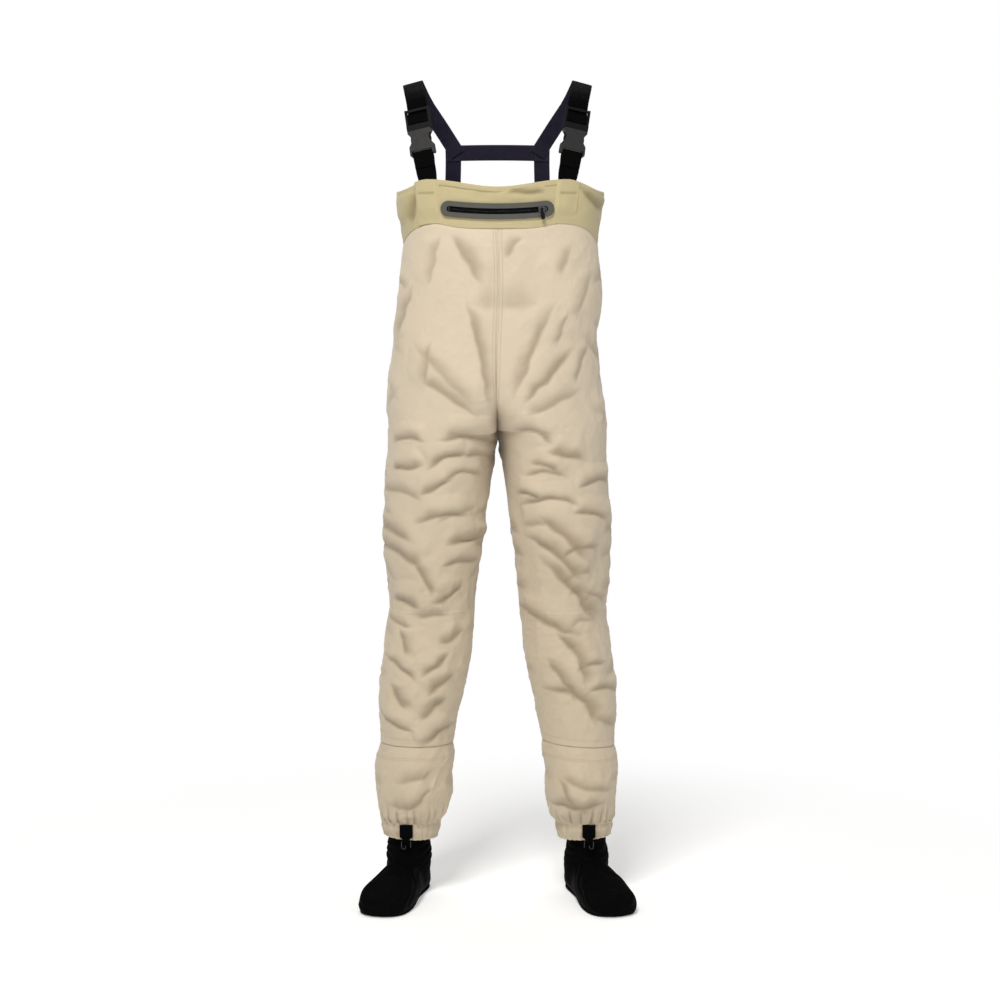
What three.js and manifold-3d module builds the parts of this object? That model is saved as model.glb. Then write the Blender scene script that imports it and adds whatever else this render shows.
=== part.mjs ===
// Stockingfoot chest waders with an H-back suspender harness, two side-release buckles, a chest
// pocket with a reverse-coil zip, elastic gravel guards and neoprene socks.
// Millimetres, +Z up. The front faces -Y and the wearer's left is +X. The origin lies on the
// ground, midway between the feet and midway between the toes and the seat. The shapes are drawn
// about the middle of the chest, and the whole is then moved forward or back as one. Each side is
// modelled once, for +X, and mirrored for -X.
import * as THREE from "three";
import { mergeVertices } from "three/addons/utils/BufferGeometryUtils.js";
import Module from "manifold-3d";

const wasm = await Module();
wasm.setup();

const FABRIC = 3; // wall of the laminated fabric
const NEOPRENE = 4; // wall of the socks
const GAP = 0.4; // clearance between neighbouring pieces
const HALF_GAP = GAP / 2;

// ---- materials ------------------------------------------------------------------------------

const material = (color, roughness, metalness = 0) =>
  new THREE.MeshStandardMaterial({ color, roughness, metalness });
const BEIGE = material(0xd3c3a4, 0.75);
const OLIVE = material(0xbdb184, 0.75);
const WEBBING = material(0x141416, 0.85);
const NAVY_WEBBING = material(0x23232f, 0.85);
const BLACK_PLASTIC = material(0x1b1b1c, 0.45);
const GREY_PLASTIC = material(0x2c2a2a, 0.4);
const ZIP_GREY = material(0x6d6c64, 0.6);
const ZIP_BLACK = material(0x0e0f12, 0.35);
const NEOPRENE_BLACK = material(0x08080a, 0.9);
const TAPE = material(0x9a9a96, 0.6);
const STEEL = material(0x3a3a3c, 0.35, 1);

// ---- solid-making helpers -------------------------------------------------------------------

const vec = (x, y, z) => new THREE.Vector3(x, y, z);
const lerp = THREE.MathUtils.lerp;
const rad = THREE.MathUtils.degToRad;
const smooth = (t) => THREE.MathUtils.smoothstep(t, 0, 1);

// A closed solid through a list of rings, each a list of the same number of points that runs
// anticlockwise seen from the last ring.
function loft(rings) {
  const count = rings[0].length;
  const points = rings.flat();
  const faces = [];
  for (let r = 0; r + 1 < rings.length; r++)
    for (let i = 0; i < count; i++) {
      const j = (i + 1) % count;
      const [a, b] = [r * count + i, r * count + j];
      faces.push(a, b, b + count, a, b + count, a + count);
    }
  const cap = (ring, start, flip) => {
    const centre = ring.reduce((sum, p) => sum.add(p), vec(0, 0, 0)).divideScalar(count);
    points.push(centre);
    for (let i = 0; i < count; i++) {
      const [a, b] = [start + i, start + ((i + 1) % count)];
      faces.push(points.length - 1, ...(flip ? [b, a] : [a, b]));
    }
  };
  cap(rings[0], 0, true);
  cap(rings.at(-1), (rings.length - 1) * count, false);
  const geometry = new THREE.BufferGeometry().setFromPoints(points);
  geometry.setIndex(faces);
  return geometry;
}

function toSolid(geometry) {
  const bare = geometry.clone();
  for (const name of Object.keys(bare.attributes)) if (name !== "position") bare.deleteAttribute(name);
  const merged = mergeVertices(bare, 1e-4);
  return new wasm.Manifold(
    new wasm.Mesh({
      numProp: 3,
      vertProperties: merged.attributes.position.array,
      triVerts: new Uint32Array(merged.index.array),
    }),
  );
}

function toGeometry(solid) {
  const mesh = solid.simplify(0.01).getMesh();
  const geometry = new THREE.BufferGeometry();
  geometry.setAttribute("position", new THREE.BufferAttribute(mesh.vertProperties, 3));
  geometry.setIndex(new THREE.BufferAttribute(mesh.triVerts, 1));
  return geometry;
}

// The first geometry with the others cut out of it, or joined to it.
const cut = (geometry, ...tools) =>
  toGeometry(tools.reduce((solid, tool) => solid.subtract(toSolid(tool)), toSolid(geometry)));
const join = (geometry, ...others) =>
  toGeometry(others.reduce((solid, other) => solid.add(toSolid(other)), toSolid(geometry)));

// A box from its centre and its full size.
const box = (x, y, z, width, depth, height, segments = 1) =>
  new THREE.BoxGeometry(width, depth, height, segments, 1, 1).translate(x, y, z);

// A flat outline in x and z, made solid from y0 to y1.
function plate(shape, y0, y1) {
  const geometry = new THREE.ExtrudeGeometry(shape, { depth: y1 - y0, bevelEnabled: false, curveSegments: 5 });
  return geometry.rotateX(Math.PI / 2).translate(0, y1, 0);
}

// Webbing laid along a list of stations, each with its centre p and its width direction w.
function ribbon(stations, width, thickness) {
  const rings = stations.map(({ p, w }, i) => {
    const before = stations[Math.max(i - 1, 0)].p;
    const after = stations[Math.min(i + 1, stations.length - 1)].p;
    const along = after.clone().sub(before).normalize();
    const across = w.clone().addScaledVector(along, -w.dot(along)).setLength(width / 2);
    const normal = across.clone().cross(along).setLength(thickness / 2);
    const corner = (a, n) => p.clone().addScaledVector(across, a).addScaledVector(normal, n);
    return [corner(1, -1), corner(-1, -1), corner(-1, 1), corner(1, 1)];
  });
  return loft(rings);
}

// The value at z from a list of [z, value, ...] rows in falling z, as the column asked for.
function at(rows, z, column) {
  const i = rows.findIndex((row) => row[0] <= z);
  if (i === 0) return rows[0][column];
  if (i < 0) return rows.at(-1)[column];
  const [above, below] = [rows[i - 1], rows[i]];
  return lerp(below[column], above[column], (z - below[0]) / (above[0] - below[0]));
}

// ---- the shape of the garment ---------------------------------------------------------------

const CROTCH = 893;
const KNEE_SEAM = 557;
const HEM = 296;
const CHEST_DEPTH = 126; // half the front-to-back depth at the chest band
const ROUNDNESS = 2.25; // exponent of the chest's super-ellipse: 2 is an ellipse

// Half of the garment from the chest band down to the knee seam:
// [height, outer side, half depth, crest of the thigh, half depth at the centre seam, inner side]
const BODY = [
  [1272, 182, 126, 8, 125.5, HALF_GAP],
  [1162, 192, 127, 8, 126, HALF_GAP],
  [1040, 192, 129, 12, 127, HALF_GAP],
  [985, 200, 128, 25, 122, HALF_GAP],
  [942, 204, 124, 50, 102, HALF_GAP],
  [912, 206, 119, 78, 62, HALF_GAP],
  [CROTCH, 206, 116, 92, 6, HALF_GAP],
  [852, 206, 108, 106, 3, 6],
  [768, 210, 100, 114, 2, 18],
  [677, 211.5, 93, 121.5, 2, 32],
  [KNEE_SEAM, 207, 86, 125, 2, 43],
];

// Lower leg tubes, all [height, centre x, half width, half depth, centre y].
const SHIN = [
  [KNEE_SEAM, 125, 82, 86, 0],
  [483, 133, 83, 82, 2],
  [394, 147, 78, 77, 4],
  [HEM, 154.5, 70, 69, 4],
];
const GUARD = [
  [308, 153.6, 65.6, 64.6, 4],
  [296.5, 154.5, 66.3, 65.3, 4],
  [289, 155, 70, 68.6, 4],
  [242, 156, 74, 72, 4],
  [182, 156.5, 71, 68, 4],
  [155, 162, 61, 60, 4],
  [142, 166, 54, 54, 4],
];
const CUFF = [
  [142, 166, 54, 54, 4],
  [112, 167, 49, 50, 4],
];
const SLEEVE = [
  [340, 151.5, 62, 61, 4],
  [260, 158, 46, 46, 4],
  [200, 166, 40, 41, 5],
  [165, 170.5, 38.5, 39, 5],
];
const ANKLE = { x: 171, y: 5, z: 85 };
const ANKLE_BALL = 38; // radius of the ball on which the foot turns
const ANKLE_TUBE = 35;

const signedPower = (v, exponent) => Math.sign(v) * Math.abs(v) ** exponent;

// Points of a super-ellipse from angle a0 to a1, in steps, where angle 0 is +X.
function arc(cx, cy, halfWidth, halfDepth, a0, a1, steps, roundness = 2) {
  return Array.from({ length: steps }, (_, i) => {
    const a = lerp(a0, a1, i / steps);
    const power = 2 / roundness;
    return [
      cx + halfWidth * signedPower(Math.cos(a), power),
      cy + halfDepth * signedPower(Math.sin(a), power),
    ];
  });
}

const tubeRing = ([z, cx, w, d, cy], inset, steps = 20) =>
  arc(cx, cy, w - inset, d - inset, 0, 2 * Math.PI, steps).map(([x, y]) => vec(x, y, z));

// A tube of fabric with a true wall, from its rows in falling z.
function tube(rows, wall, steps = 20) {
  const rising = [...rows].reverse();
  const [bottom, top] = [rising[0], rising.at(-1)];
  const past = (row, dz) => [row[0] + dz, ...row.slice(1)];
  const inner = [past(bottom, -2), ...rising.slice(1, -1), past(top, 2)];
  return cut(
    loft(rising.map((row) => tubeRing(row, 0, steps))),
    loft(inner.map((row) => tubeRing(row, wall, steps))),
  );
}

// ---- chest band -----------------------------------------------------------------------------

const STRAP_X = 127.5; // where the front straps cross the band
const BAND_TOP = { middle: 1344, strap: 1358, side: 1338, back: 1325, halfWidth: 193 };
const BAND_BOTTOM = { front: 1270, side: 1254, back: 1240, halfWidth: 182 };

function bandTop(x, y) {
  const { middle, strap, side, back, halfWidth } = BAND_TOP;
  const reach = Math.abs(x);
  if (y > 0) return lerp(side, back, smooth(y / CHEST_DEPTH));
  if (reach < STRAP_X) return lerp(middle, strap, smooth(reach / STRAP_X));
  return lerp(strap, side, smooth((reach - STRAP_X) / (halfWidth - STRAP_X)));
}

function bandBottom(y) {
  const share = smooth(Math.abs(y) / CHEST_DEPTH);
  return lerp(BAND_BOTTOM.side, y < 0 ? BAND_BOTTOM.front : BAND_BOTTOM.back, share);
}

// The chest's outline at one height of the band, drawn in by inset.
const chestRing = (halfWidth, inset, height) =>
  arc(0, 0, halfWidth - inset, CHEST_DEPTH - inset, 0, 2 * Math.PI, 56, ROUNDNESS).map(([x, y]) =>
    vec(x, y, height(x, y)),
  );

const ZIP = {
  z: 1300, // height of the middle of the zip, which sags below its ends
  radius: 320,
  tilt: rad(24), // the zip's arc lies in a plane that dips towards the front
  length: 211,
  height: 29,
  opening: 188,
  openingHeight: 10.5,
  reach: 81, // how far the slider stands from the middle at either end
};
const ZIP_MIDDLE = vec(0, -CHEST_DEPTH - 1.1, ZIP.z);
const ZIP_AXIS = vec(0, -Math.sin(ZIP.tilt), Math.cos(ZIP.tilt));
const ZIP_PIVOT = vec(0, Math.cos(ZIP.tilt), Math.sin(ZIP.tilt))
  .multiplyScalar(ZIP.radius)
  .add(ZIP_MIDDLE);

// Bends a flat geometry, drawn with x along the zip and -y outwards, round the chest.
function wrap(geometry) {
  const position = geometry.attributes.position;
  for (let i = 0; i < position.count; i++) {
    const p = vec(0, position.getY(i), position.getZ(i)).add(ZIP_MIDDLE).sub(ZIP_PIVOT);
    p.applyAxisAngle(ZIP_AXIS, position.getX(i) / ZIP.radius).add(ZIP_PIVOT);
    position.setXYZ(i, p.x, p.y, p.z);
  }
  return geometry;
}

const WRAP_SEGMENTS = 14;
const wrappedBox = (x, y, z, width, depth, height, segments = WRAP_SEGMENTS) =>
  wrap(box(x, y, z, width, depth, height, segments));

function chestBand() {
  const slot = wrappedBox(0, 0, 0, ZIP.opening, 30, 9.6);
  const outer = loft([
    chestRing(BAND_BOTTOM.halfWidth, 0, (x, y) => bandBottom(y)),
    chestRing(BAND_TOP.halfWidth, 0, bandTop),
  ]);
  const inner = loft([
    chestRing(BAND_BOTTOM.halfWidth, FABRIC, (x, y) => bandBottom(y) - 3),
    chestRing(BAND_TOP.halfWidth, FABRIC, (x, y) => bandTop(x, y) + 3),
  ]);
  return cut(outer, inner, slot);
}

// ---- body panels ----------------------------------------------------------------------------

// One ring of the left half: round the outside from front to back, then home along the centre
// seam or, below the crotch, along the inside of the leg.
function bodyRing([z, outer, depth, crest, seam, inner], inset, topEdge) {
  const [d, s, side] = [depth - inset, Math.max(seam - inset, 1), inner + inset];
  const quarter = Math.PI / 2;
  const roundness = lerp(2, ROUNDNESS, smooth((z - CROTCH) / (1100 - CROTCH)));
  const outside = arc(crest, 0, outer - inset - crest, d, -quarter, quarter, 14, roundness);
  const back = arc(crest, s, crest - side, d - s, quarter, 2 * quarter, 3);
  const flat = [0, 1].map((i) => [side, lerp(s, -s, i / 2)]);
  const front = arc(crest, -s, crest - side, d - s, 2 * quarter, 3 * quarter, 3);
  return [...outside, ...back, ...flat, ...front].map(([x, y]) =>
    vec(x, y, topEdge ? topEdge(y) : z),
  );
}

function bodyPanel() {
  const rising = [...BODY].reverse();
  const top = rising.at(-1);
  const edge = (y) => bandBottom(y) - 3 * GAP;
  const rings = rising.map((row) => bodyRing(row, 0, row === top ? edge : null));
  const past = ([z, ...rest], dz) => [z + dz, ...rest];
  const cavity = [
    bodyRing(past(rising[0], -2), FABRIC),
    ...rising.slice(1, -1).map((row) => bodyRing(row, FABRIC)),
    bodyRing(top, FABRIC, (y) => edge(y) + 3),
  ];
  // The two halves open into each other above the crotch, leaving a seam allowance on each.
  const opening = rising
    .filter(([z]) => z > CROTCH + 1)
    .map((row) => {
      const s = row[4] - FABRIC;
      const z = row === top ? row[0] + 20 : row[0];
      return [vec(-2, s, z), vec(-2, -s, z), vec(FABRIC + 2, -s, z), vec(FABRIC + 2, s, z)];
    });
  return cut(loft(rings), loft(cavity), loft(opening));
}

// Sealing tape behind the centre seam: facing is -1 at the front and 1 at the back.
function seamTape(facing) {
  const heights = [919, 942, 985, 1040, 1162, 1225];
  const stations = heights.map((z) => ({
    p: vec(0, facing * (at(BODY, z, 4) - FABRIC - GAP - 0.6), z),
    w: vec(1, 0, 0),
  }));
  return ribbon(stations, 20, 1);
}

const pocketBag = () => wrappedBox(0, 12, -79, 212, 5, 194);

// ---- pocket zip -----------------------------------------------------------------------------

// A plate with round ends, from y0 to y1, bent by the function given.
function pill(length, height, y0, y1, bend, segments = WRAP_SEGMENTS) {
  const [straight, depth, y] = [length - height, y1 - y0, (y0 + y1) / 2];
  const ends = [-1, 1].map((end) =>
    bend(new THREE.CylinderGeometry(height / 2, height / 2, depth, 16).translate((end * straight) / 2, y, 0)),
  );
  return join(bend(box(0, y, 0, straight, depth, height, segments)), ...ends);
}

const zipSurround = () =>
  cut(pill(ZIP.length, ZIP.height, -3, -1.6, wrap), pill(ZIP.opening, ZIP.openingHeight, -5, 1, wrap));

const SLIT = 0.9; // half the open line between the two rows of the coil
const zipTape = (end) => wrappedBox(0, -0.8, end * (SLIT + 5), ZIP.opening + 8, 0.8, 10);
const zipCoil = (end) => wrappedBox(0, 1.6, end * (SLIT + 1.6), ZIP.opening - 2, 2.2, 3.2);
const zipStop = (end) => wrappedBox(end * 89.5, -2.2, 0, 2.4, 1.2, 7, 1);

const BRIDGE = { out: 7.6, radius: 0.9, length: 9 }; // the bar on the slider that the puller hangs from

function zipSlider() {
  const x = ZIP.reach;
  const posts = [-1, 1].map((end) => wrappedBox(x + end * 3.9, -6, 0, 1.2, 5, 2, 1));
  const bar = new THREE.CylinderGeometry(BRIDGE.radius, BRIDGE.radius, BRIDGE.length, 8);
  return join(
    wrappedBox(x, -2.9, 0, 12, 2, 9, 2),
    wrappedBox(x, 0.6, 0, 6, 7.4, 1.0, 1),
    wrappedBox(x, 4.4, 0, 11, 1.4, 8, 2),
    ...posts,
    wrap(bar.rotateZ(Math.PI / 2).translate(x, -BRIDGE.out, 0)),
  );
}

// A ring round the bridge bar, with a moulded grip hanging below it.
function zipPuller() {
  const ring = new THREE.CylinderGeometry(2.7, 2.7, 2.4, 14).rotateZ(Math.PI / 2);
  const hole = new THREE.CylinderGeometry(1.35, 1.35, 4, 12).rotateZ(Math.PI / 2);
  const neck = box(0, 0, -4.6, 2.4, 1.6, 5);
  const grip = pill(13, 6.5, -1.5, 1.5, (piece) => piece.rotateY(Math.PI / 2).translate(0, 0, -12.4), 1);
  return wrap(cut(join(ring, neck, grip), hole).translate(ZIP.reach, -BRIDGE.out, 0));
}

// ---- front straps and buckles ---------------------------------------------------------------

const WEB = 38; // width of the front and shoulder webbing
const WEB_T = 1.6;
const BACK_WEB = 30; // width of the webbing across the back
const TURN = 3.6; // radius at which webbing turns round a buckle's bar

// The buckle's frame: z runs up the strap, x across it and -y out of the front. The origin is at
// the mouth of the socket.
const MOUTH = vec(143, -77, 1450);
const UP = vec(0.148, 0.25, 0.957).normalize();
const ACROSS = vec(1, 0.3, 0).addScaledVector(UP, -UP.dot(vec(1, 0.3, 0))).normalize();
const buckleFrame = new THREE.Matrix4()
  .makeBasis(ACROSS, UP.clone().cross(ACROSS), UP)
  .setPosition(MOUTH);
const inBuckle = (x, y, z) => vec(x, y, z).applyMatrix4(buckleFrame);
const strapPoint = (y, z) => ({ p: inBuckle(0, y, z), w: ACROSS });

// Webbing that turns round a bar at height z: over its top, or under it with side = -1.
const turn = (z, side, from) =>
  [0, 45, 90, 135, 180].map((a) =>
    strapPoint(from * TURN * Math.cos(rad(a)), z + side * TURN * Math.sin(rad(a))),
  );

const SOCKET = { halfWidth: 23.5, waist: 10.5, length: 48, halfDepth: 6.5, cavity: 18.5 };
const WINDOW = { top: -8, bottom: -27 };

function buckleSocket() {
  const { halfWidth: w, waist, length, halfDepth, cavity } = SOCKET;
  const shape = new THREE.Shape();
  shape.moveTo(-w + 2, 0);
  shape.quadraticCurveTo(-w + 0.5, -1, -w + 1, -5);
  shape.quadraticCurveTo(-waist, -17, -w + 0.5, -30);
  shape.lineTo(-w, -length + 3);
  shape.quadraticCurveTo(-w, -length, -w + 3, -length);
  shape.lineTo(w - 3, -length);
  shape.quadraticCurveTo(w, -length, w, -length + 3);
  shape.lineTo(w - 0.5, -30);
  shape.quadraticCurveTo(waist, -17, w - 1, -5);
  shape.quadraticCurveTo(w - 0.5, -1, w - 2, 0);
  shape.closePath();
  const height = WINDOW.top - WINDOW.bottom;
  const middle = (WINDOW.top + WINDOW.bottom) / 2;
  return cut(
    plate(shape, -halfDepth, halfDepth),
    box(0, 0, -17, 2 * cavity, 8, 36), // the cavity, open at the mouth
    box(0, 0, middle, 60, 8, height), // the two side windows
    box(0, 0, -41.2, 39.2, 20, 5.6), // the slot for the webbing
    box(0, -halfDepth, -48, 39.2, 8.2, 12), // the bar is thinner than the body
    box(0, halfDepth, -48, 39.2, 8.2, 12),
  );
}

const PLUG = { halfWidth: 23.5, inside: 19.6, barZ: 19, topZ: 39 };

function bucklePlug() {
  const { halfWidth: w, inside, barZ, topZ } = PLUG;
  const rails = [-1, 1].map((end) => box((end * (w + inside)) / 2, 0, 21, w - inside, 7, 41.2));
  return join(
    box(0, 0, 6.2, 2 * w, 9, 11.6), // the base, which stops against the socket
    ...rails,
    box(0, 0, barZ, 2 * w - 1, 4.6, 4),
    box(0, -0.6, topZ, 2 * w - 1, 4.6, 4.4),
    box(0, 0, -12, 7, 3.4, 26), // the guide tongue
  );
}

// One sprung arm of the plug, on the +x side: it bulges into the socket's side window.
function buckleArm(side) {
  const shape = new THREE.Shape();
  shape.moveTo(13.4, 0.1 - GAP);
  shape.lineTo(12.6, -22);
  shape.quadraticCurveTo(13, -27, 15.4, -26.6);
  shape.quadraticCurveTo(18.4, -25.6, 19.3, -20);
  shape.quadraticCurveTo(19.6, -15.5, 17.5, -9);
  shape.lineTo(17.3, 0.1 - GAP);
  shape.closePath();
  const arm = plate(shape, -3, 3);
  return side > 0 ? arm : arm.rotateZ(Math.PI);
}

// The anchor is a flat tunnel of fabric on the band, which the lower strap goes down into.
const ANCHOR_TILT = rad(28); // how far the band has turned from the front at the strap
const anchorFrame = new THREE.Matrix4()
  .makeRotationZ(ANCHOR_TILT)
  .setPosition(STRAP_X, -103.6, 1316);

function strapAnchor() {
  const patch = box(0, 0, 4, 48, 4.4, 76);
  return cut(patch, box(0, 0.6, 10, 40, 2.8, 76)).applyMatrix4(anchorFrame);
}

function lowerStrap() {
  const w = vec(Math.cos(ANCHOR_TILT), Math.sin(ANCHOR_TILT), 0);
  const inAnchor = (z) => ({ p: vec(0, 0.6, z).applyMatrix4(anchorFrame), w });
  return ribbon(
    [
      inAnchor(-20),
      inAnchor(46),
      strapPoint(TURN, -84),
      strapPoint(TURN, -60),
      ...turn(-44, 1, 1),
      strapPoint(-TURN, -54),
      strapPoint(-TURN, -66),
    ],
    WEB,
    WEB_T,
  );
}

// The line of the webbing from the plug, up the chest, over the shoulder and down to the crossing.
const CROSSING = { x: 86, z: 1417 };
const LAYER = { back: 112, cross: 109.8, yoke: 109.6 }; // y of the layers sewn together there

function shoulderLine() {
  const over = new THREE.CatmullRomCurve3([
    inBuckle(0, TURN, 48),
    inBuckle(0, TURN, 62),
    vec(155.2, -38, 1528),
    vec(158, -8, 1541),
    vec(154.5, 22, 1535),
    vec(136.5, 58, 1506),
    vec(112, 88, 1470),
    vec(93, LAYER.yoke - 3, 1441),
    vec(84, LAYER.yoke, 1427),
    vec(76, LAYER.yoke, 1414),
  ]);
  const tilts = [0, 12, 21, 27, 32, 33]; // lean of the webbing's width as it goes over
  return over.getPoints(26).map((p, i, all) => {
    const t = (i / (all.length - 1)) * (tilts.length - 1);
    const k = Math.min(Math.floor(t), tilts.length - 2);
    const lean = rad(lerp(tilts[k], tilts[k + 1], t - k));
    const turned = vec(Math.cos(lean), 0, -Math.sin(lean));
    return { p, w: ACROSS.clone().lerp(turned, smooth(t / 2)) };
  });
}

// The front webbing: its tail, the turn round the plug's bar, and up to just behind the shoulder.
const SHOULDER_END = 15; // station of the shoulder line where the front webbing ends
const YOKE_START = 9; // station where the back webbing starts, underneath it

const shoulderStrap = () =>
  ribbon(
    [
      strapPoint(TURN + 2.6, 62),
      strapPoint(TURN + 2.6, 26),
      strapPoint(TURN + 0.4, 21),
      ...turn(PLUG.barZ - 2, -1, 1),
      strapPoint(-TURN, PLUG.barZ + 3),
      strapPoint(TURN, PLUG.topZ - 3),
      ...shoulderLine().slice(0, SHOULDER_END + 1),
    ],
    WEB,
    WEB_T,
  );

// The back webbing runs on under the end of the front webbing and down to the crossing.
function yokeStrap() {
  const line = shoulderLine();
  const stations = line.slice(YOKE_START).map(({ p, w }, i) => {
    const k = i + YOKE_START;
    const along = line[Math.min(k + 1, line.length - 1)].p.clone().sub(line[k - 1].p);
    const inward = along.cross(w).setLength(WEB_T + GAP);
    return { p: p.clone().add(inward), w };
  });
  return ribbon(stations, BACK_WEB, WEB_T);
}

function backStrap() {
  const yaw = rad(14);
  const low = { p: vec(CROSSING.x, 110.4, 1285), w: vec(Math.cos(yaw), -Math.sin(yaw), 0) };
  const edge = { p: vec(CROSSING.x, 110.8, 1335), w: low.w };
  const high = (z) => ({ p: vec(CROSSING.x - 1, LAYER.back, z), w: vec(1, 0, 0) });
  return ribbon([low, edge, high(1395), high(1441)], BACK_WEB, WEB_T);
}

const crossStrap = () =>
  box(0, LAYER.cross, CROSSING.z, 2 * CROSSING.x + BACK_WEB - 2, WEB_T, BACK_WEB);

// ---- lower leg ------------------------------------------------------------------------------

const shrink = (rows, by) => rows.map(([z, cx, w, d, cy], i) => [i ? z : z - by, cx, w, d, cy]);

const shinPanel = () => tube(shrink(SHIN, GAP), FABRIC);
const legSleeve = () => tube(SLEEVE, 2, 16);
const gravelGuard = () => tube(GUARD, 2);
const guardCuff = () => tube(shrink(CUFF, GAP), 4);

function guardElastic() {
  const row = (z) => [z, at(CUFF, z, 1), at(CUFF, z, 2) - 4 - 2 * GAP, at(CUFF, z, 3) - 4 - 2 * GAP, 4];
  return tube([row(136), row(120)], 1.2);
}

const TAB = { x: 174, width: 25, top: 143, bottom: 116, y: -51.9 };
const TUNNEL = { width: 15, z: 111, outer: 2.2, bore: 1.2 }; // the fold of the tab round the hook's bar

function hookTab() {
  const { width, z, outer, bore } = TUNNEL;
  const along = (radius, length) =>
    new THREE.CylinderGeometry(radius, radius, length, 12).rotateZ(Math.PI / 2).translate(TAB.x, TAB.y, z);
  return cut(
    join(
      box(TAB.x, TAB.y, (TAB.top + TAB.bottom) / 2, TAB.width, 2, TAB.top - TAB.bottom),
      box(TAB.x, TAB.y, z + 3, width, 2, 5),
      along(outer, width),
    ),
    along(bore, 2 * width),
  );
}

// A wire hook: a bar through the tab's tunnel, two legs down and an open hook turned to the front.
function laceHook() {
  const points = [
    [-8.6, -1.2, -12],
    [-8.6, 0, -8],
    [-8.6, 0, -1.2],
    [-7.6, 0, 0],
    [7.6, 0, 0],
    [8.6, 0, -1.2],
    [8.6, 0, -8],
    [8, -1.2, -13],
    [3, -3.4, -15],
    [1, -5, -12],
    [1, -5.4, -7],
  ];
  const path = new THREE.CurvePath();
  const place = ([x, y, z]) => vec(TAB.x + x, TAB.y + y, TUNNEL.z + z);
  for (let i = 0; i + 1 < points.length; i++)
    path.add(new THREE.LineCurve3(place(points[i]), place(points[i + 1])));
  const disc = new THREE.Shape().absarc(0, 0, 0.8, 0, 2 * Math.PI);
  return new THREE.ExtrudeGeometry(disc, { extrudePath: path, steps: 44, curveSegments: 3, bevelEnabled: false });
}

// ---- neoprene sock --------------------------------------------------------------------------

const TOE_OUT = rad(15);
const SOLE = 5;
// Along the foot from heel to toe: [distance from the ankle, half width, height]
const FOOT = [
  [-68, 13, 34],
  [-60, 25, 54],
  [-38, 33, 66],
  [0, 36, 70],
  [38, 39, 72],
  [85, 46, 62],
  [135, 50, 52],
  [172, 46, 43],
  [192, 34, 34],
  [200, 18, 26],
];

// A cross-section of the foot: flat below, arched above, drawn in by inset and cut off at floor.
function footRing([s, halfWidth, height], inset, floor) {
  const [w, h] = [halfWidth - inset, height - inset - floor];
  const low = [-1, 0, 1].map((side) => [side * w * 0.92, floor]);
  const arch = Array.from({ length: 9 }, (_, i) => {
    const a = rad(lerp(8, 172, i / 8));
    return [w * signedPower(Math.cos(a), 0.85), floor + h * signedPower(Math.sin(a), 0.8)];
  });
  return [...low, ...arch].map(([x, z]) => vec(x, -s, z));
}

const onFoot = (geometry) => geometry.rotateZ(TOE_OUT).translate(ANKLE.x, ANKLE.y, 0);

function sockFoot() {
  const inner = FOOT.map(([s, w, h], i) => {
    const end = i === 0 ? NEOPRENE : i === FOOT.length - 1 ? -NEOPRENE : 0;
    return footRing([s + end, w, h], NEOPRENE, -1);
  });
  const ball = new THREE.SphereGeometry(ANKLE_BALL + 1.2, 20, 14).rotateX(Math.PI / 2).translate(0, 0, ANKLE.z);
  const upper = loft(FOOT.map((row) => footRing(row, 0, SOLE + GAP)));
  const collar = new THREE.CylinderGeometry(42.5, 44, 50, 20).rotateX(Math.PI / 2).translate(0, 0, 47);
  return onFoot(cut(join(upper, collar), loft(inner), ball));
}

function sockSole() {
  const side = (sign) => FOOT.map(([s, w]) => new THREE.Vector2(sign * w * 0.93, -s));
  const shape = new THREE.Shape([...side(1), ...side(-1).reverse()]);
  return onFoot(new THREE.ExtrudeGeometry(shape, { depth: SOLE, bevelEnabled: false }));
}

// The ankle tube ends in a bowl, on which the foot turns.
function sockAnkle() {
  const [ball, wall] = [ANKLE_BALL, NEOPRENE];
  const bowl = (radius, latitudes) =>
    latitudes.map((a) => [radius * Math.cos(rad(a)), ANKLE.z + radius * Math.sin(rad(a))]);
  const neck = Math.acos(ANKLE_TUBE / ball) * THREE.MathUtils.RAD2DEG;
  const outside = bowl(ball, [-52, -36, -18, 0, neck]);
  const inside = bowl(ball - wall, [neck, 0, -18, -36, -52]);
  const profile = [
    ...outside,
    [37, 163],
    [37 - wall, 163],
    ...inside,
    outside[0],
  ].map(([r, z]) => new THREE.Vector2(r, z));
  const geometry = new THREE.LatheGeometry(profile, 20);
  return geometry.rotateX(Math.PI / 2).translate(ANKLE.x, ANKLE.y, 0);
}

// ---- assembly -------------------------------------------------------------------------------

const CHEST_Y = 31.9; // the middle of the chest stands this far behind the origin
const waders = new THREE.Group();
waders.position.y = CHEST_Y;

function add(group, name, geometry, finish) {
  const mesh = new THREE.Mesh(geometry, finish);
  mesh.name = name;
  group.add(mesh);
  return mesh;
}

function addFrom(group, prefix, pieces) {
  for (const [name, geometry, finish] of pieces) add(group, prefix + name, geometry, finish);
}

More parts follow.
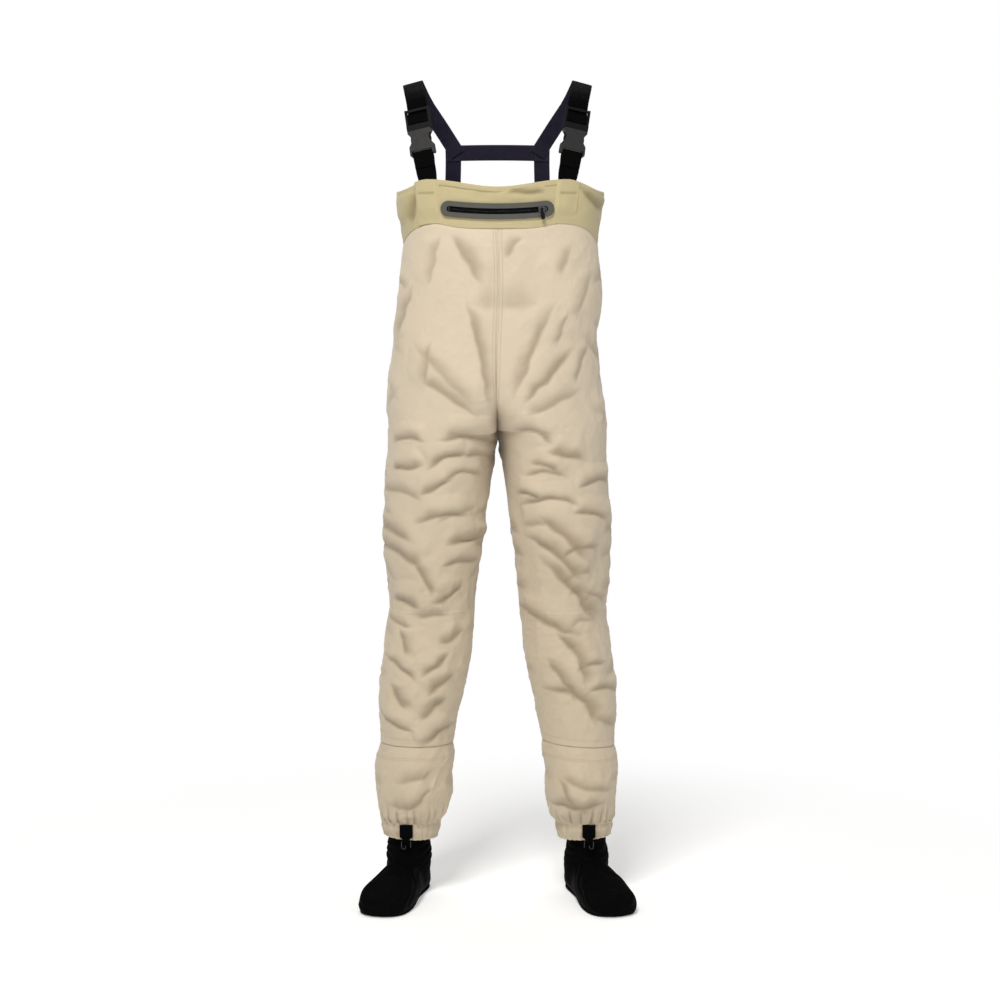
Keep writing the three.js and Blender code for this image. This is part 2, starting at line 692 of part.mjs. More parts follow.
addFrom(waders, "", [
  ["chest_band", chestBand(), OLIVE],
  ["front_seam_tape", seamTape(-1), TAPE],
  ["back_seam_tape", seamTape(1), TAPE],
  ["pocket_bag", pocketBag(), TAPE],
  ["zip_surround", zipSurround(), ZIP_GREY],
  ["zip_upper_tape", zipTape(1), ZIP_BLACK],
  ["zip_lower_tape", zipTape(-1), ZIP_BLACK],
  ["zip_upper_coil", zipCoil(1), ZIP_BLACK],
  ["zip_lower_coil", zipCoil(-1), ZIP_BLACK],
  ["zip_closed_end_stop", zipStop(1), ZIP_BLACK],
  ["zip_open_end_stop", zipStop(-1), ZIP_BLACK],
  ["zip_slider", zipSlider(), ZIP_BLACK],
  ["zip_puller", zipPuller(), ZIP_BLACK],
  ["cross_strap", crossStrap(), NAVY_WEBBING],
]);

for (const [side, sign] of [["left_", 1], ["right_", -1]]) {
  const half = new THREE.Group();
  half.scale.x = sign;
  addFrom(half, side, [
    ["body_panel", bodyPanel(), BEIGE],
    ["strap_anchor", strapAnchor(), OLIVE],
    ["lower_strap", lowerStrap(), WEBBING],
    ["shoulder_strap", shoulderStrap(), WEBBING],
    ["yoke_strap", yokeStrap(), NAVY_WEBBING],
    ["back_strap", backStrap(), NAVY_WEBBING],
    ["shin_panel", shinPanel(), BEIGE],
    ["leg_sleeve", legSleeve(), BEIGE],
    ["gravel_guard", gravelGuard(), BEIGE],
    ["guard_cuff", guardCuff(), BEIGE],
    ["guard_elastic", guardElastic(), WEBBING],
    ["hook_tab", hookTab(), WEBBING],
    ["lace_hook", laceHook(), STEEL],
    ["sock_ankle", sockAnkle(), NEOPRENE_BLACK],
    ["sock_foot", sockFoot(), NEOPRENE_BLACK],
    ["sock_sole", sockSole(), NEOPRENE_BLACK],
  ]);
  const buckle = new THREE.Group();
  buckle.applyMatrix4(buckleFrame);
  addFrom(buckle, side + "buckle_", [
    ["socket", buckleSocket(), GREY_PLASTIC],
    ["plug", bucklePlug(), BLACK_PLASTIC],
    ["outer_arm", buckleArm(1), BLACK_PLASTIC],
    ["inner_arm", buckleArm(-1), BLACK_PLASTIC],
  ]);
  half.add(buckle);
  waders.add(half);
}

export default waders;
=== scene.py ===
"""The look of a pair of stockingfoot chest waders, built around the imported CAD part.

Lengths are millimetres in the garment's own frame, whose origin is on the ground below the middle of
the chest: +X is the wearer's left and -Y the way the wearer faces. metres() turns them into the row
frame. Each side is built as the left one and mirrored for the right.
"""

import math

import bpy
import numpy as np
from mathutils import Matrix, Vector


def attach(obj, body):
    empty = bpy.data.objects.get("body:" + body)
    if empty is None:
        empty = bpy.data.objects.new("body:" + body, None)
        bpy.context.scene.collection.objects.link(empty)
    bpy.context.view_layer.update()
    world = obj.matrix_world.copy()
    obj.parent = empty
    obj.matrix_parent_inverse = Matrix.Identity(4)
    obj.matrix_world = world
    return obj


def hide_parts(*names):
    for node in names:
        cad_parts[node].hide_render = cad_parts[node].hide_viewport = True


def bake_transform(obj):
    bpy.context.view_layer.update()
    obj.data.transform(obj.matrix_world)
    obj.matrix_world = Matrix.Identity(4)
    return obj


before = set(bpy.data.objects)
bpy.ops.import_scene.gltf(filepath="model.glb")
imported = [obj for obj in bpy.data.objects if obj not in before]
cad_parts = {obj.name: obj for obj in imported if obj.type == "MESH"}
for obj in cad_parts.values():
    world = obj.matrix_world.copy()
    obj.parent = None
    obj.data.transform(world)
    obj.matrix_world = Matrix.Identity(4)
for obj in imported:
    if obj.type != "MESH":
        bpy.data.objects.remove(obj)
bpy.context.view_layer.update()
CHEST_Y = 31.9  # the middle of the chest stands this far behind the row frame's origin
SIDES = (("left", 1), ("right", -1))

# ---- sizes, in mm ---------------------------------------------------------------------------

CROTCH = 893
KNEE_SEAM = 557
HEM = 296
CHEST_DEPTH = 126
ROUNDNESS = 2.25
# Half of the garment: [height, outer side, half depth, crest of the thigh, half depth at the
# centre seam, inner side of the leg]
BODY = np.array(
    [
        [1272, 182, 126, 8, 125.5, 0],
        [1162, 192, 127, 8, 126, 0],
        [1040, 192, 129, 12, 127, 0],
        [985, 200, 128, 25, 122, 0],
        [942, 204, 124, 50, 102, 0],
        [912, 206, 119, 78, 62, 0],
        [893, 206, 116, 92, 0, 0],
        [852, 206, 108, 106, 0, 6],
        [768, 210, 100, 114, 0, 18],
        [677, 211.5, 93, 121.5, 0, 32],
        [557, 207, 86, 125, 0, 43],
    ]
)
# Tubes: [height, centre x, half width, half depth, centre y]
SHIN = [
    [557, 125, 82, 86, 0],
    [483, 133, 83, 82, 2],
    [394, 147, 78, 77, 4],
    [296, 154.5, 70, 69, 4],
]
GUARD = [
    [310, 153.4, 65.4, 64.4, 4],
    [300, 154.2, 66.2, 65.2, 4],
    [292, 154.8, 69.5, 68.2, 4],
    [278, 155.4, 72, 70, 4],
    [242, 156, 74, 72, 4],
    [182, 156.5, 71, 68, 4],
    [155, 162, 61, 60, 4],
    [142, 166, 54, 54, 4],
]
CUFF = [[143, 166, 54, 54, 4], [112, 167, 50, 51, 4]]
SLEEVE = [[340, 151.5, 62, 61, 4], [260, 158, 46, 46, 4], [200, 166, 40, 41, 5], [165, 170.5, 38.5, 39, 5]]
BAND_TOP = {"middle": 1344, "strap": 1358, "side": 1338, "back": 1325, "half_width": 193}
BAND_BOTTOM = {"middle": 1269, "strap": 1278, "side": 1241, "half_width": 182}
STRAP_X = 127.5
ZIP = {"z": 1300, "radius": 320, "tilt": math.radians(24), "opening": 188}

# ---- numbers --------------------------------------------------------------------------------


def smooth(t):
    t = np.clip(t, 0, 1)
    return t * t * (3 - 2 * t)


def lerp(a, b, t):
    return a + (b - a) * t


def metres(points):
    return (np.asarray(points, float) + (0, CHEST_Y, 0)) / 1000


def curve(rows, z, column):
    """One column of [z, ...] rows, which run in falling z, as a smooth function of z."""
    table = np.array(rows, float)[::-1]
    xs, ys = table[:, 0], table[:, column]
    slopes = np.gradient(ys, xs)
    i = np.clip(np.searchsorted(xs, z) - 1, 0, len(xs) - 2)
    h = xs[i + 1] - xs[i]
    t = np.clip((z - xs[i]) / h, 0, 1)
    start = (2 * t**3 - 3 * t**2 + 1) * ys[i] + (t**3 - 2 * t**2 + t) * h * slopes[i]
    end = (3 * t**2 - 2 * t**3) * ys[i + 1] + (t**3 - t**2) * h * slopes[i + 1]
    return start + end


def waves(points, wavelength, seed, count=14):
    """Smooth noise of about unit height: a sum of plane waves in random directions."""
    rng = np.random.default_rng(seed)
    points = np.asarray(points, float)
    directions = rng.normal(size=(count, points.shape[-1]))
    directions /= np.linalg.norm(directions, axis=1)[:, None]
    turns = rng.uniform(0.6, 1.5, count) * 2 * math.pi / wavelength
    phases = rng.uniform(0, 2 * math.pi, count)
    total = np.zeros(points.shape[:-1])
    for direction, turn, phase in zip(directions, turns, phases):
        total += np.sin(points @ direction * turn + phase)
    return total * math.sqrt(2 / count)


def resample(line, count):
    """A polyline's points at even steps of its length, and the length so far at each."""
    line = np.asarray(line, float)
    steps = np.linalg.norm(np.diff(line, axis=0), axis=1)
    so_far = np.concatenate([[0], np.cumsum(steps)])
    at = np.linspace(0, so_far[-1], count)
    return np.stack([np.interp(at, so_far, line[:, k]) for k in range(line.shape[1])], -1), at


def rounded(line, steps):
    """A smooth curve through the points of a line, with steps pieces between each two."""
    line = np.asarray(line, float)
    ghost = np.vstack([2 * line[0] - line[1], line, 2 * line[-1] - line[-2]])
    t = np.linspace(0, 1, steps, endpoint=False)[:, None]
    out = []
    for a, b, c, d in zip(ghost, ghost[1:], ghost[2:], ghost[3:]):
        out.append(
            0.5 * (2 * b + (c - a) * t + (2 * a - 5 * b + 4 * c - d) * t**2 + (3 * b - a - 3 * c + d) * t**3)
        )
    return np.vstack(out + [line[-1:]])


# ---- folds ----------------------------------------------------------------------------------


FOLD_DEPTH = 1.5  # scale of the height of every fold


def fold_profile(t):
    """Height across a fold: a bulge that turns under into the crease at 0, and a lip below it."""
    bulge = np.where(t < 1.9, 1 - (1 - t / 1.9) ** 2, np.exp(-(((t - 1.9) / 2.0) ** 2)))
    lip = 0.45 * (1 - np.exp(t / 0.7)) * np.exp(-((t / 2.6) ** 2))
    return np.where(t > 0, bulge, lip)


def fold_field(x, z, folds):
    """Height in mm, and how deep in a crease from 0 to 1, of a list of folds at (x, z)."""
    height, crease = np.zeros_like(x), np.zeros_like(x)
    warp = np.stack([x, z], -1)
    wx = x + 1.3 * waves(warp, 42, 11)
    wz = z + 1.3 * waves(warp, 42, 12)
    for amplitude, width, path in folds:
        line, _ = resample(rounded(path, 5), 14)
        reach = 4.2 * width
        low, high = line.min(0) - reach, line.max(0) + reach
        near = (wx > low[0]) & (wx < high[0]) & (wz > low[1]) & (wz < high[1])
        if not near.any():
            continue
        p = np.stack([wx[near], wz[near]], -1)
        best = np.full(len(p), 1e9)
        side, along = np.zeros(len(p)), np.zeros(len(p))
        for k, (a, b) in enumerate(zip(line, line[1:])):
            d = b - a
            t = np.clip(((p - a) @ d) / (d @ d), 0, 1)
            gap = p - a - t[:, None] * d
            distance = np.hypot(gap[:, 0], gap[:, 1])
            closer = distance < best
            cross = d[0] * (p[:, 1] - a[1]) - d[1] * (p[:, 0] - a[0])
            best = np.where(closer, distance, best)
            side = np.where(closer, np.sign(cross) * distance, side)
            along = np.where(closer, (k + t) / (len(line) - 1), along)
        taper = smooth(along / 0.3) * smooth((1 - along) / 0.3)
        local = width * lerp(0.35, 1.1, taper)
        height[near] += FOLD_DEPTH * amplitude * taper * fold_profile(side / local)
        # The crease value is painted shade: shell_cloth darkens the cloth's colour by it on the shaded underside of
        # each fold.
        depth = min(1.0, amplitude / 3.1) * (0.5 if width > 20 else 1.0)
        across = side / local
        under = np.where(across > 0, np.exp(-((across / 1.25) ** 2)), np.exp(-((across / 0.3) ** 2)))
        shadow = taper * depth * under
        crease[near] = np.maximum(crease[near], shadow)
    return height, crease


def mirrored_folds(folds, drop):
    """The same folds seen from behind, moved down by drop."""
    return [(0.85 * a, w, [(-x, z - drop) for x, z in reversed(path)]) for a, w, path in folds]


def random_folds(seed, count, across, z_range, amplitude, length=(40, 110)):
    """Slanting folds at random places in a strip."""
    rng = np.random.default_rng(seed)
    folds = []
    for _ in range(count):
        x, z = rng.uniform(*across), rng.uniform(*z_range)
        size, slope = rng.uniform(*length), rng.normal(0, 0.45)
        bend = rng.normal(0, 0.12) * size
        path = [
            (x - size / 2, z - slope * size / 2),
            (x, z + bend),
            (x + size / 2, z + slope * size / 2),
        ]
        folds.append((amplitude * rng.uniform(0.5, 1.2), rng.uniform(7, 14), path))
    return folds


def drape(points, normals, front, back, side, crumple, hold=None):
    """Moves points along their normals by the folds for the way each faces. Returns the points
    and how deep each lies in a crease. hold scales the folds, and is 0 where the fabric is sewn."""
    x, y, z = points.T
    to_front = smooth((0.15 - normals[:, 1]) / 0.4)
    to_back = smooth((0.15 + normals[:, 1]) / 0.4)
    to_side = smooth((np.abs(normals[:, 0]) - 0.72) / 0.22)
    height, crease = fold_field(x, z, front)
    height, crease = height * to_front, crease * to_front
    for folds, weight, across in ((back, to_back, x), (side, to_side, y + np.sign(x) * 300)):
        more, deeper = fold_field(across, z, folds)
        height += more * weight
        crease = np.maximum(crease, deeper * weight)
    slow = waves(points, 150, 3)
    creased = 0.5 - np.abs(waves(points, 52, 5)) * 0.75 + 0.35 * np.abs(waves(points, 21, 6))
    height += crumple * (creased + 0.9 * slow)
    if hold is not None:
        height, crease = height * hold, crease * hold
    return points + normals * height[:, None], crease


# ---- where the folds lie --------------------------------------------------------------------
# A fold is (height of its ridge, width of its ridge, [(x, z) along its crease]). Creases run
# towards +x, so that the ridge lies above them.


def arc(x, z, length, slope, bend, ridge, width):
    """One fold about (x, z), its crease rising by slope degrees, its middle bend x length higher."""
    dx, dz = math.cos(math.radians(slope)), math.sin(math.radians(slope))
    middle = (x - dz * bend * length, z + dx * bend * length)
    ends = [(x + k * dx * length / 2, z + k * dz * length / 2) for k in (-1, 1)]
    return ridge, width, [ends[0], middle, ends[1]]


def leg_sides(z):
    """The inner and the outer side of the left leg at height z."""
    if z > KNEE_SEAM:
        return float(curve(BODY, z, 5)), float(curve(BODY, z, 1))
    rows = SHIN if z > HEM else GUARD
    centre, half = float(curve(rows, z, 1)), float(curve(rows, z, 2))
    return centre - half, centre + half


def stack(side, top, bottom, count, seed, *pattern):
    """Folds one below the other down a leg. The pattern repeats: each is (place across from the
    inner side at 0 to the outer side at 1, length as a share of the leg's width, slope rising to
    the outside, bend, ridge, width)."""
    rng = np.random.default_rng(seed)
    sign = 1 if side == "left" else -1
    folds = []
    for k in range(count):
        across, share, slope, bend, ridge, width = pattern[k % len(pattern)]
        z = lerp(top, bottom, (k + 0.5) / count) + rng.normal(0, 8)
        inner, outer = leg_sides(z)
        x = lerp(inner, outer, across + rng.normal(0, 0.07))
        length = share * (outer - inner) * rng.uniform(0.75, 1.4)
        slope = sign * (slope + rng.normal(0, 12))
        bend += rng.normal(0, 0.06)
        ridge, width = ridge * rng.uniform(0.6, 1.2), width * rng.uniform(0.85, 1.3)
        folds.append(arc(sign * x, z, length, slope, bend, ridge, width))
    return folds


def fan(sign, spread, count, seed):
    """Folds that leave the fork of the legs upwards and outwards, the steepest the longest."""
    rng = np.random.default_rng(seed)
    folds = []
    for k in range(count):
        slope = lerp(spread[0], spread[1], k / (count - 1)) + rng.normal(0, 4)
        length = (70 + 150 * math.sin(math.radians(slope))) * rng.uniform(0.7, 1.1)
        away = rng.uniform(15, 55) + length / 2
        x = sign * (6 + away * math.cos(math.radians(slope)))
        z = CROTCH + 8 + away * math.sin(math.radians(slope))
        folds.append(arc(x, z, length, sign * slope, rng.normal(0, 0.05), rng.uniform(1.8, 2.8), 11))
    return folds


def flank(sign, count, seed):
    """Steep folds down the side of the chest, below the strap."""
    rng = np.random.default_rng(seed)
    folds = []
    for k in range(count):
        x = sign * lerp(115, 172, (k % 2 + rng.uniform(0, 0.3)) / 1.3)
        z = lerp(1210, 1020, k / (count - 1))
        folds.append(arc(x, z, rng.uniform(70, 120), rng.normal(80, 6), 0.04, rng.uniform(1.6, 2.4), 8))
    return folds


RIPPLE = ((0.4, 0.5, -5, 0.1, 4.0, 8), (0.75, 0.4, 5, 0.1, 3.6, 8), (0.25, 0.35, -15, 0.1, 3.0, 8))
CHEVRON = ((0.75, 0.45, 40, 0.0, 4.4, 9), (0.3, 0.55, -35, 0.05, 4.4, 10))
DIAGONAL = ((0.45, 0.9, -45, 0.05, 4.6, 11), (0.7, 0.4, 5, 0.15, 3.2, 7))
SAG = ((0.5, 0.7, 0, -0.1, 3.4, 9), (0.35, 0.45, -30, 0.0, 2.6, 8))
CHEST_FOLDS = [
    arc(-60, 1215, 130, -60, 0.0, 2.4, 14),
    arc(30, 1235, 60, 50, 0.0, 2.2, 12),
    arc(10, 1130, 140, 0, 0.0, 2.6, 26),
    *flank(-1, 3, 91),
    *flank(1, 4, 92),
]
FORK_FOLDS = fan(-1, (30, 70), 3, 93) + fan(1, (20, 75), 3, 94)
THIGH_FOLDS = {
    "right": stack("right", 890, 720, 10, 101, *RIPPLE) + stack("right", 715, 565, 7, 102, *CHEVRON),
    "left": stack("left", 885, 700, 9, 103, *RIPPLE) + stack("left", 700, 570, 6, 104, *DIAGONAL),
}
SHIN_FOLDS = {
    "right": stack("right", 552, 505, 3, 105, *RIPPLE) + stack("right", 500, 308, 8, 106, *CHEVRON),
    "left": stack("left", 550, 318, 8, 107, *DIAGONAL),
}
GUARD_FOLDS = {
    "right": stack("right", 225, 165, 3, 108, *SAG),
    "left": stack("left", 225, 160, 4, 109, *SAG),
}
BAND_FOLDS = [
    arc(50, 1331, 80, 0, 0.04, 3.2, 8),
    arc(-154, 1310, 80, 80, 0.0, 3.2, 11),
    arc(168, 1320, 60, -45, 0.0, 3.2, 11),
]


# ---- meshes ---------------------------------------------------------------------------------


def grid_faces(rows, cols, closed=False):
    i, j = np.meshgrid(np.arange(rows - 1), np.arange(cols - (not closed)), indexing="ij")
    after = (j + 1) % cols
    return np.stack([i * cols + j, i * cols + after, (i + 1) * cols + after, (i + 1) * cols + j], -1).reshape(-1, 4)


def grid_uv(u, v):
    """Corner coordinates, in metres, of the faces of a grid whose u has one column more than the
    faces of a row."""
    corner = [(0, 0), (0, 1), (1, 1), (1, 0)]
    rows, cols = u.shape[0] - 1, u.shape[1] - 1
    uv = [np.stack([u[a : a + rows, b : b + cols], v[a : a + rows, b : b + cols]], -1) for a, b in corner]
    return np.stack(uv, 2).reshape(-1, 4, 2) / 1000


def vertex_normals(points, faces):
    a, b, c, d = (points[faces[:, k]] for k in range(4))
    face = np.cross(c - a, d - b)
    total = np.zeros_like(points)
    for k in range(4):
        for axis in range(3):
            total[:, axis] += np.bincount(faces[:, k], face[:, axis], len(points))
    return total / np.maximum(np.linalg.norm(total, axis=1), 1e-9)[:, None]


def welded(points, faces):
    """Joins points that lie within a few hundredths of a millimetre."""
    _, first, where = np.unique(np.round(points * 20).astype(np.int64), axis=0, return_index=True, return_inverse=True)
    return points[first], where.reshape(-1)[faces]


def make(name, points, faces, uv=None, materials=(), floats=None, mirror=False):
    """A smooth mesh object from points in mm. floats holds named values of each point."""
    points = np.asarray(points, float)
    faces = np.asarray(faces)
    if mirror:
        points = points * (-1, 1, 1)
        faces = faces[:, ::-1]
        uv = uv[:, ::-1] if uv is not None else None
    used, faces = np.unique(faces, return_inverse=True)
    faces = faces.reshape(-1, 4)
    triangles = [[v for k, v in enumerate(f) if v != f[k - 1]] for f in faces.tolist()]
    mesh = bpy.data.meshes.new(name)
    mesh.from_pydata(metres(points[used]).tolist(), [], triangles)
    if uv is not None:
        corners = [uv[i, k] for i, f in enumerate(faces) for k in range(4) if f[k] != f[k - 1]]
        layer = mesh.uv_layers.new(name="UVMap")
        layer.data.foreach_set("uv", np.array(corners, np.float32).ravel())
    for key, values in (floats or {}).items():
        attribute = mesh.attributes.new(key, "FLOAT", "POINT")
        attribute.data.foreach_set("value", np.asarray(values, np.float32)[used])
    mesh.polygons.foreach_set("use_smooth", np.ones(len(mesh.polygons), bool))
    for material in materials:
        mesh.materials.append(material)
    obj = bpy.data.objects.new(name, mesh)
    bpy.context.scene.collection.objects.link(obj)
    return obj


def thicken(obj, thickness, lined=True):
    """Gives fabric its thickness inwards, with the second material on the inside."""
    modifier = obj.modifiers.new("thickness", "SOLIDIFY")
    modifier.thickness = thickness / 1000
    modifier.offset = -1
    if lined:
        modifier.material_offset = 1
    rim = obj.modifiers.new("crisp_rim", "EDGE_SPLIT")
    rim.split_angle = math.radians(55)
    return obj


def keep(obj, body, *nodes):
    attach(obj, body)
    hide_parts(*nodes)
    return obj


def tube_grid(rows, heights, cols):
    """Points of a tube, ring by ring, starting each ring on the inner side of the leg."""
    heights = np.asarray(heights, float)
    angle = np.linspace(0, 2 * math.pi, cols, endpoint=False) + math.pi
    cx, w, d, cy = (curve(rows, heights, k)[:, None] for k in (1, 2, 3, 4))
    x, y = cx + w * np.cos(angle), cy + d * np.sin(angle)
    z = np.broadcast_to(heights[:, None], x.shape)
    return np.stack([x, y, z], -1)


def tube_uv(grid):
    closed = np.concatenate([grid, grid[:, :1]], 1)
    steps = np.linalg.norm(np.diff(closed, axis=1), axis=2)
    u = np.concatenate([np.zeros((len(grid), 1)), np.cumsum(steps, 1)], 1)
    v = np.broadcast_to(closed[..., 2], u.shape)
    return grid_uv(u, v)


def ribbon(name, stations, width, thickness, material, mirror=False, steps=4, crown=0.0):
    """Webbing with soft edges along stations (point, width direction). width may differ by station."""
    centres = rounded([p for p, _ in stations], steps)
    across = rounded([w for _, w in stations], steps)
    widths = rounded(np.broadcast_to(np.asarray(width, float), (len(stations),))[:, None], steps)
    along = np.gradient(centres, axis=0)
    along /= np.linalg.norm(along, axis=1)[:, None]
    across -= along * np.sum(across * along, 1)[:, None]
    across /= np.linalg.norm(across, axis=1)[:, None]
    normal = np.cross(across, along)
    share = np.array([-1, -0.97, -0.9, -0.7, -0.35, 0, 0.35, 0.7, 0.9, 0.97, 1])
    half = thickness / 2 * (0.3 + 0.7 * (1 - np.abs(share) ** 14))
    share = np.concatenate([share, share[::-1]])
    offset = np.concatenate([half, -half[::-1]]) + crown * (1 - share**2)
    points = (
        centres[:, None]
        + across[:, None] * (share[None, :, None] * widths[:, None] / 2)
        + normal[:, None] * offset[None, :, None]
    )
    rows, cols = points.shape[:2]
    faces = grid_faces(rows, cols, closed=True)
    length = np.concatenate([[0], np.cumsum(np.linalg.norm(np.diff(centres, axis=0), axis=1))])
    u = np.concatenate([share, share[:1]]) * widths / 2
    v = np.broadcast_to(length[:, None], u.shape)
    uv = grid_uv(u, v)
    caps, half_cols = [], cols // 2
    for row, flip in ((0, True), (rows - 1, False)):
        for k in range(half_cols - 1):
            quad = [row * cols + k, row * cols + k + 1, row * cols + cols - 2 - k, row * cols + cols - 1 - k]
            caps.append(quad[::-1] if flip else quad)
    faces = np.vstack([faces, caps])
    uv = np.concatenate([uv, np.zeros((len(caps), 4, 2))])
    flat = points.reshape(-1, 3)
    a, b, c, d = (flat[faces[:, k]] for k in range(4))
    if np.sum(np.cross(b - a, c - a) * (a + b + c)) + np.sum(np.cross(c - a, d - a) * (a + c + d)) < 0:
        faces, uv = faces[:, ::-1], uv[:, ::-1]
    return make(name, flat, faces, uv, [material], mirror=mirror)


# ---- materials ------------------------------------------------------------------------------


class Paint:
    """A Principled material, built up one node at a time."""

    def __init__(self, name, roughness=0.8, sheen=0.0, coat=0.0, specular=0.5):
        self.material = bpy.data.materials.new(name)
        self.material.use_nodes = True
        self.nodes = self.material.node_tree.nodes
        self.links = self.material.node_tree.links
        self.bsdf = self.nodes["Principled BSDF"]
        self.set("Roughness", roughness)
        self.set("Sheen Weight", sheen)
        self.set("Coat Weight", coat)
        self.set("Specular IOR Level", specular)
        self.normal = None

    def link(self, socket, value):
        if isinstance(value, bpy.types.NodeSocket):
            self.links.new(value, socket)
        else:
            socket.default_value = value

    def set(self, name, value):
        self.link(self.bsdf.inputs[name], value)

    def math(self, operation, *values):
        node = self.nodes.new("ShaderNodeMath")
        node.operation = operation
        for socket, value in zip(node.inputs, values):
            self.link(socket, value)
        return node.outputs[0]

    def add(self, first, *rest):
        for value in rest:
            first = self.math("ADD", first, value)
        return first

    def times(self, first, *rest):
        for value in rest:
            first = self.math("MULTIPLY", first, value)
        return first

    def uv(self):
        node = self.nodes.new("ShaderNodeSeparateXYZ")
        self.links.new(self.nodes.new("ShaderNodeTexCoord").outputs["UV"], node.inputs[0])
        return node.outputs[0], node.outputs[1]

    def place(self):
        return self.nodes.new("ShaderNodeTexCoord").outputs["Object"]

    def value(self, attribute):
        node = self.nodes.new("ShaderNodeAttribute")
        node.attribute_name = attribute
        return node.outputs["Fac"]

    def noise(self, size, detail=3.0, roughness=0.5, distortion=0.0, stretch=(1, 1, 1)):
        """Noise with features of the given size in metres."""
        mapping = self.nodes.new("ShaderNodeMapping")
        mapping.inputs["Scale"].default_value = [s / size for s in stretch]
        self.links.new(self.place(), mapping.inputs["Vector"])
        node = self.nodes.new("ShaderNodeTexNoise")
        self.links.new(mapping.outputs[0], node.inputs["Vector"])
        node.inputs["Scale"].default_value = 1
        node.inputs["Detail"].default_value = detail
        node.inputs["Roughness"].default_value = roughness
        node.inputs["Distortion"].default_value = distortion
        return node.outputs["Fac"]

    def wave(self, coordinate, pitch):
        """A sine of the coordinate, from -1 to 1."""
        return self.math("SINE", self.times(coordinate, 2 * math.pi / pitch))

    def band(self, coordinate, centre, inner, outer):
        """1 within inner of the centre, falling smoothly to 0 at outer."""
        node = self.nodes.new("ShaderNodeMapRange")
        node.interpolation_type = "SMOOTHSTEP"
        distance = self.math("ABSOLUTE", self.math("SUBTRACT", coordinate, centre))
        for key, value in (("Value", distance), ("From Min", inner), ("From Max", outer), ("To Min", 1.0), ("To Max", 0.0)):
            self.link(node.inputs[key], value)
        return node.outputs[0]

    def stitches(self, coordinate, along, centre, pitch=0.0034):
        """A dashed line of thread at coordinate = centre."""
        dash = self.math("GREATER_THAN", self.wave(along, pitch), -0.45)
        return self.times(self.band(coordinate, centre, 0.00028, 0.0006), dash)

    def mix(self, factor, a, b):
        node = self.nodes.new("ShaderNodeMix")
        node.data_type = "RGBA"
        self.link(node.inputs[0], factor)
        for socket, value in ((node.inputs[6], a), (node.inputs[7], b)):
            self.link(socket, (*value, 1) if isinstance(value, tuple) else value)
        return node.outputs[2]

    def bump(self, height, distance):
        """Adds relief: height 1 stands distance metres high."""
        node = self.nodes.new("ShaderNodeBump")
        node.inputs["Strength"].default_value = 1
        node.inputs["Distance"].default_value = distance
        self.link(node.inputs["Height"], height)
        if self.normal:
            self.links.new(self.normal, node.inputs["Normal"])
        self.normal = node.outputs[0]
        self.set("Normal", self.normal)


def shade(colour, factor):
    return tuple(c * factor for c in colour)


def tint(colour, factors):
    return tuple(c * k for c, k in zip(colour, factors))


def shell_cloth(name, colour, thread, lines=(), seams=(), grooves=(), crinkle=0.0011):
    """Woven laminate. lines are heights of stitching round the piece, seams are distances of
    stitching from the seam attribute, and grooves are heights where two panels meet."""
    p = Paint(name, roughness=0.74, sheen=0.22, specular=0.35)
    u, v = p.uv()
    seam = p.value("seam")
    crease = p.value("crease")
    mottle = p.noise(0.085, 4, 0.6)
    base = p.mix(p.times(p.math("SUBTRACT", mottle, 0.35), 0.55), colour, shade(colour, 0.86))
    yarn = p.noise(0.0016, 1, 0.5, stretch=(1, 1, 0.35))
    base = p.mix(p.times(yarn, 0.16), base, shade(colour, 1.16))
    # Painted shade: the colour darkens as v falls below 0.95 m (height on the trunk and legs), standing in for the
    # light falling off towards the lower legs.
    legs = p.math("MINIMUM", 1.0, p.math("MAXIMUM", 0.0, p.times(p.math("SUBTRACT", 0.95, v), 2.9)))
    base = p.mix(p.times(legs, 0.5), base, tint(colour, (0.79, 0.775, 0.73)))
    # Painted shade in the creases of the folds: the crease attribute mixes in a darker, warmer tone.
    base = p.mix(p.times(crease, 0.82), base, tint(colour, (0.48, 0.44, 0.38)))
    v = p.add(v, p.times(p.math("SUBTRACT", p.noise(0.06, 1, 0.5, stretch=(1, 1, 0.1)), 0.5), 0.009))
    groove = p.band(seam, 0.0, 0.0002, 0.0012)
    for height in grooves:
        groove = p.math("MAXIMUM", groove, p.band(v, height, 0.0003, 0.0014))
    thread_mask = 0.0
    for offset in seams:
        thread_mask = p.math("MAXIMUM", thread_mask, p.stitches(seam, v, offset))
    for height in lines:
        thread_mask = p.math("MAXIMUM", thread_mask, p.stitches(v, u, height))
    # Painted shade in the seam groove and where two panels meet.
    base = p.mix(p.times(groove, 0.14), base, shade(colour, 0.4))
    base = p.mix(p.times(thread_mask, 0.5), base, thread)
    p.set("Base Color", base)
    p.set("Roughness", p.add(0.66, p.times(mottle, 0.16)))
    felled = p.band(seam, 0.0, 0.0085, 0.0098)
    pucker = p.times(p.band(seam, 0.005, 0.002, 0.012), p.noise(0.009, 1, 0.4, stretch=(0.3, 1, 1)))
    p.bump(p.noise(0.034, 5, 0.55, 0.7), crinkle)
    p.bump(p.add(p.times(felled, 0.5), p.times(groove, -0.4), p.times(pucker, 0.6)), 0.0007)
    p.bump(thread_mask, 0.0004)
    weave = p.times(p.wave(u, 0.00105), p.wave(v, 0.00105))
    p.bump(p.add(p.times(weave, 0.5), p.times(p.noise(0.0011, 2, 0.6), 0.9)), 0.00011)
    return p.material


def lining(name, colour):
    """The smooth coated inside of the fabric."""
    p = Paint(name, roughness=0.55, sheen=0.05, specular=0.4)
    mottle = p.noise(0.05, 3, 0.6)
    p.set("Base Color", p.mix(p.times(mottle, 0.4), colour, shade(colour, 0.82)))
    p.bump(p.noise(0.03, 4, 0.5, 0.5), 0.0008)
    p.bump(p.noise(0.0012, 1, 0.5), 0.00008)
    return p.material


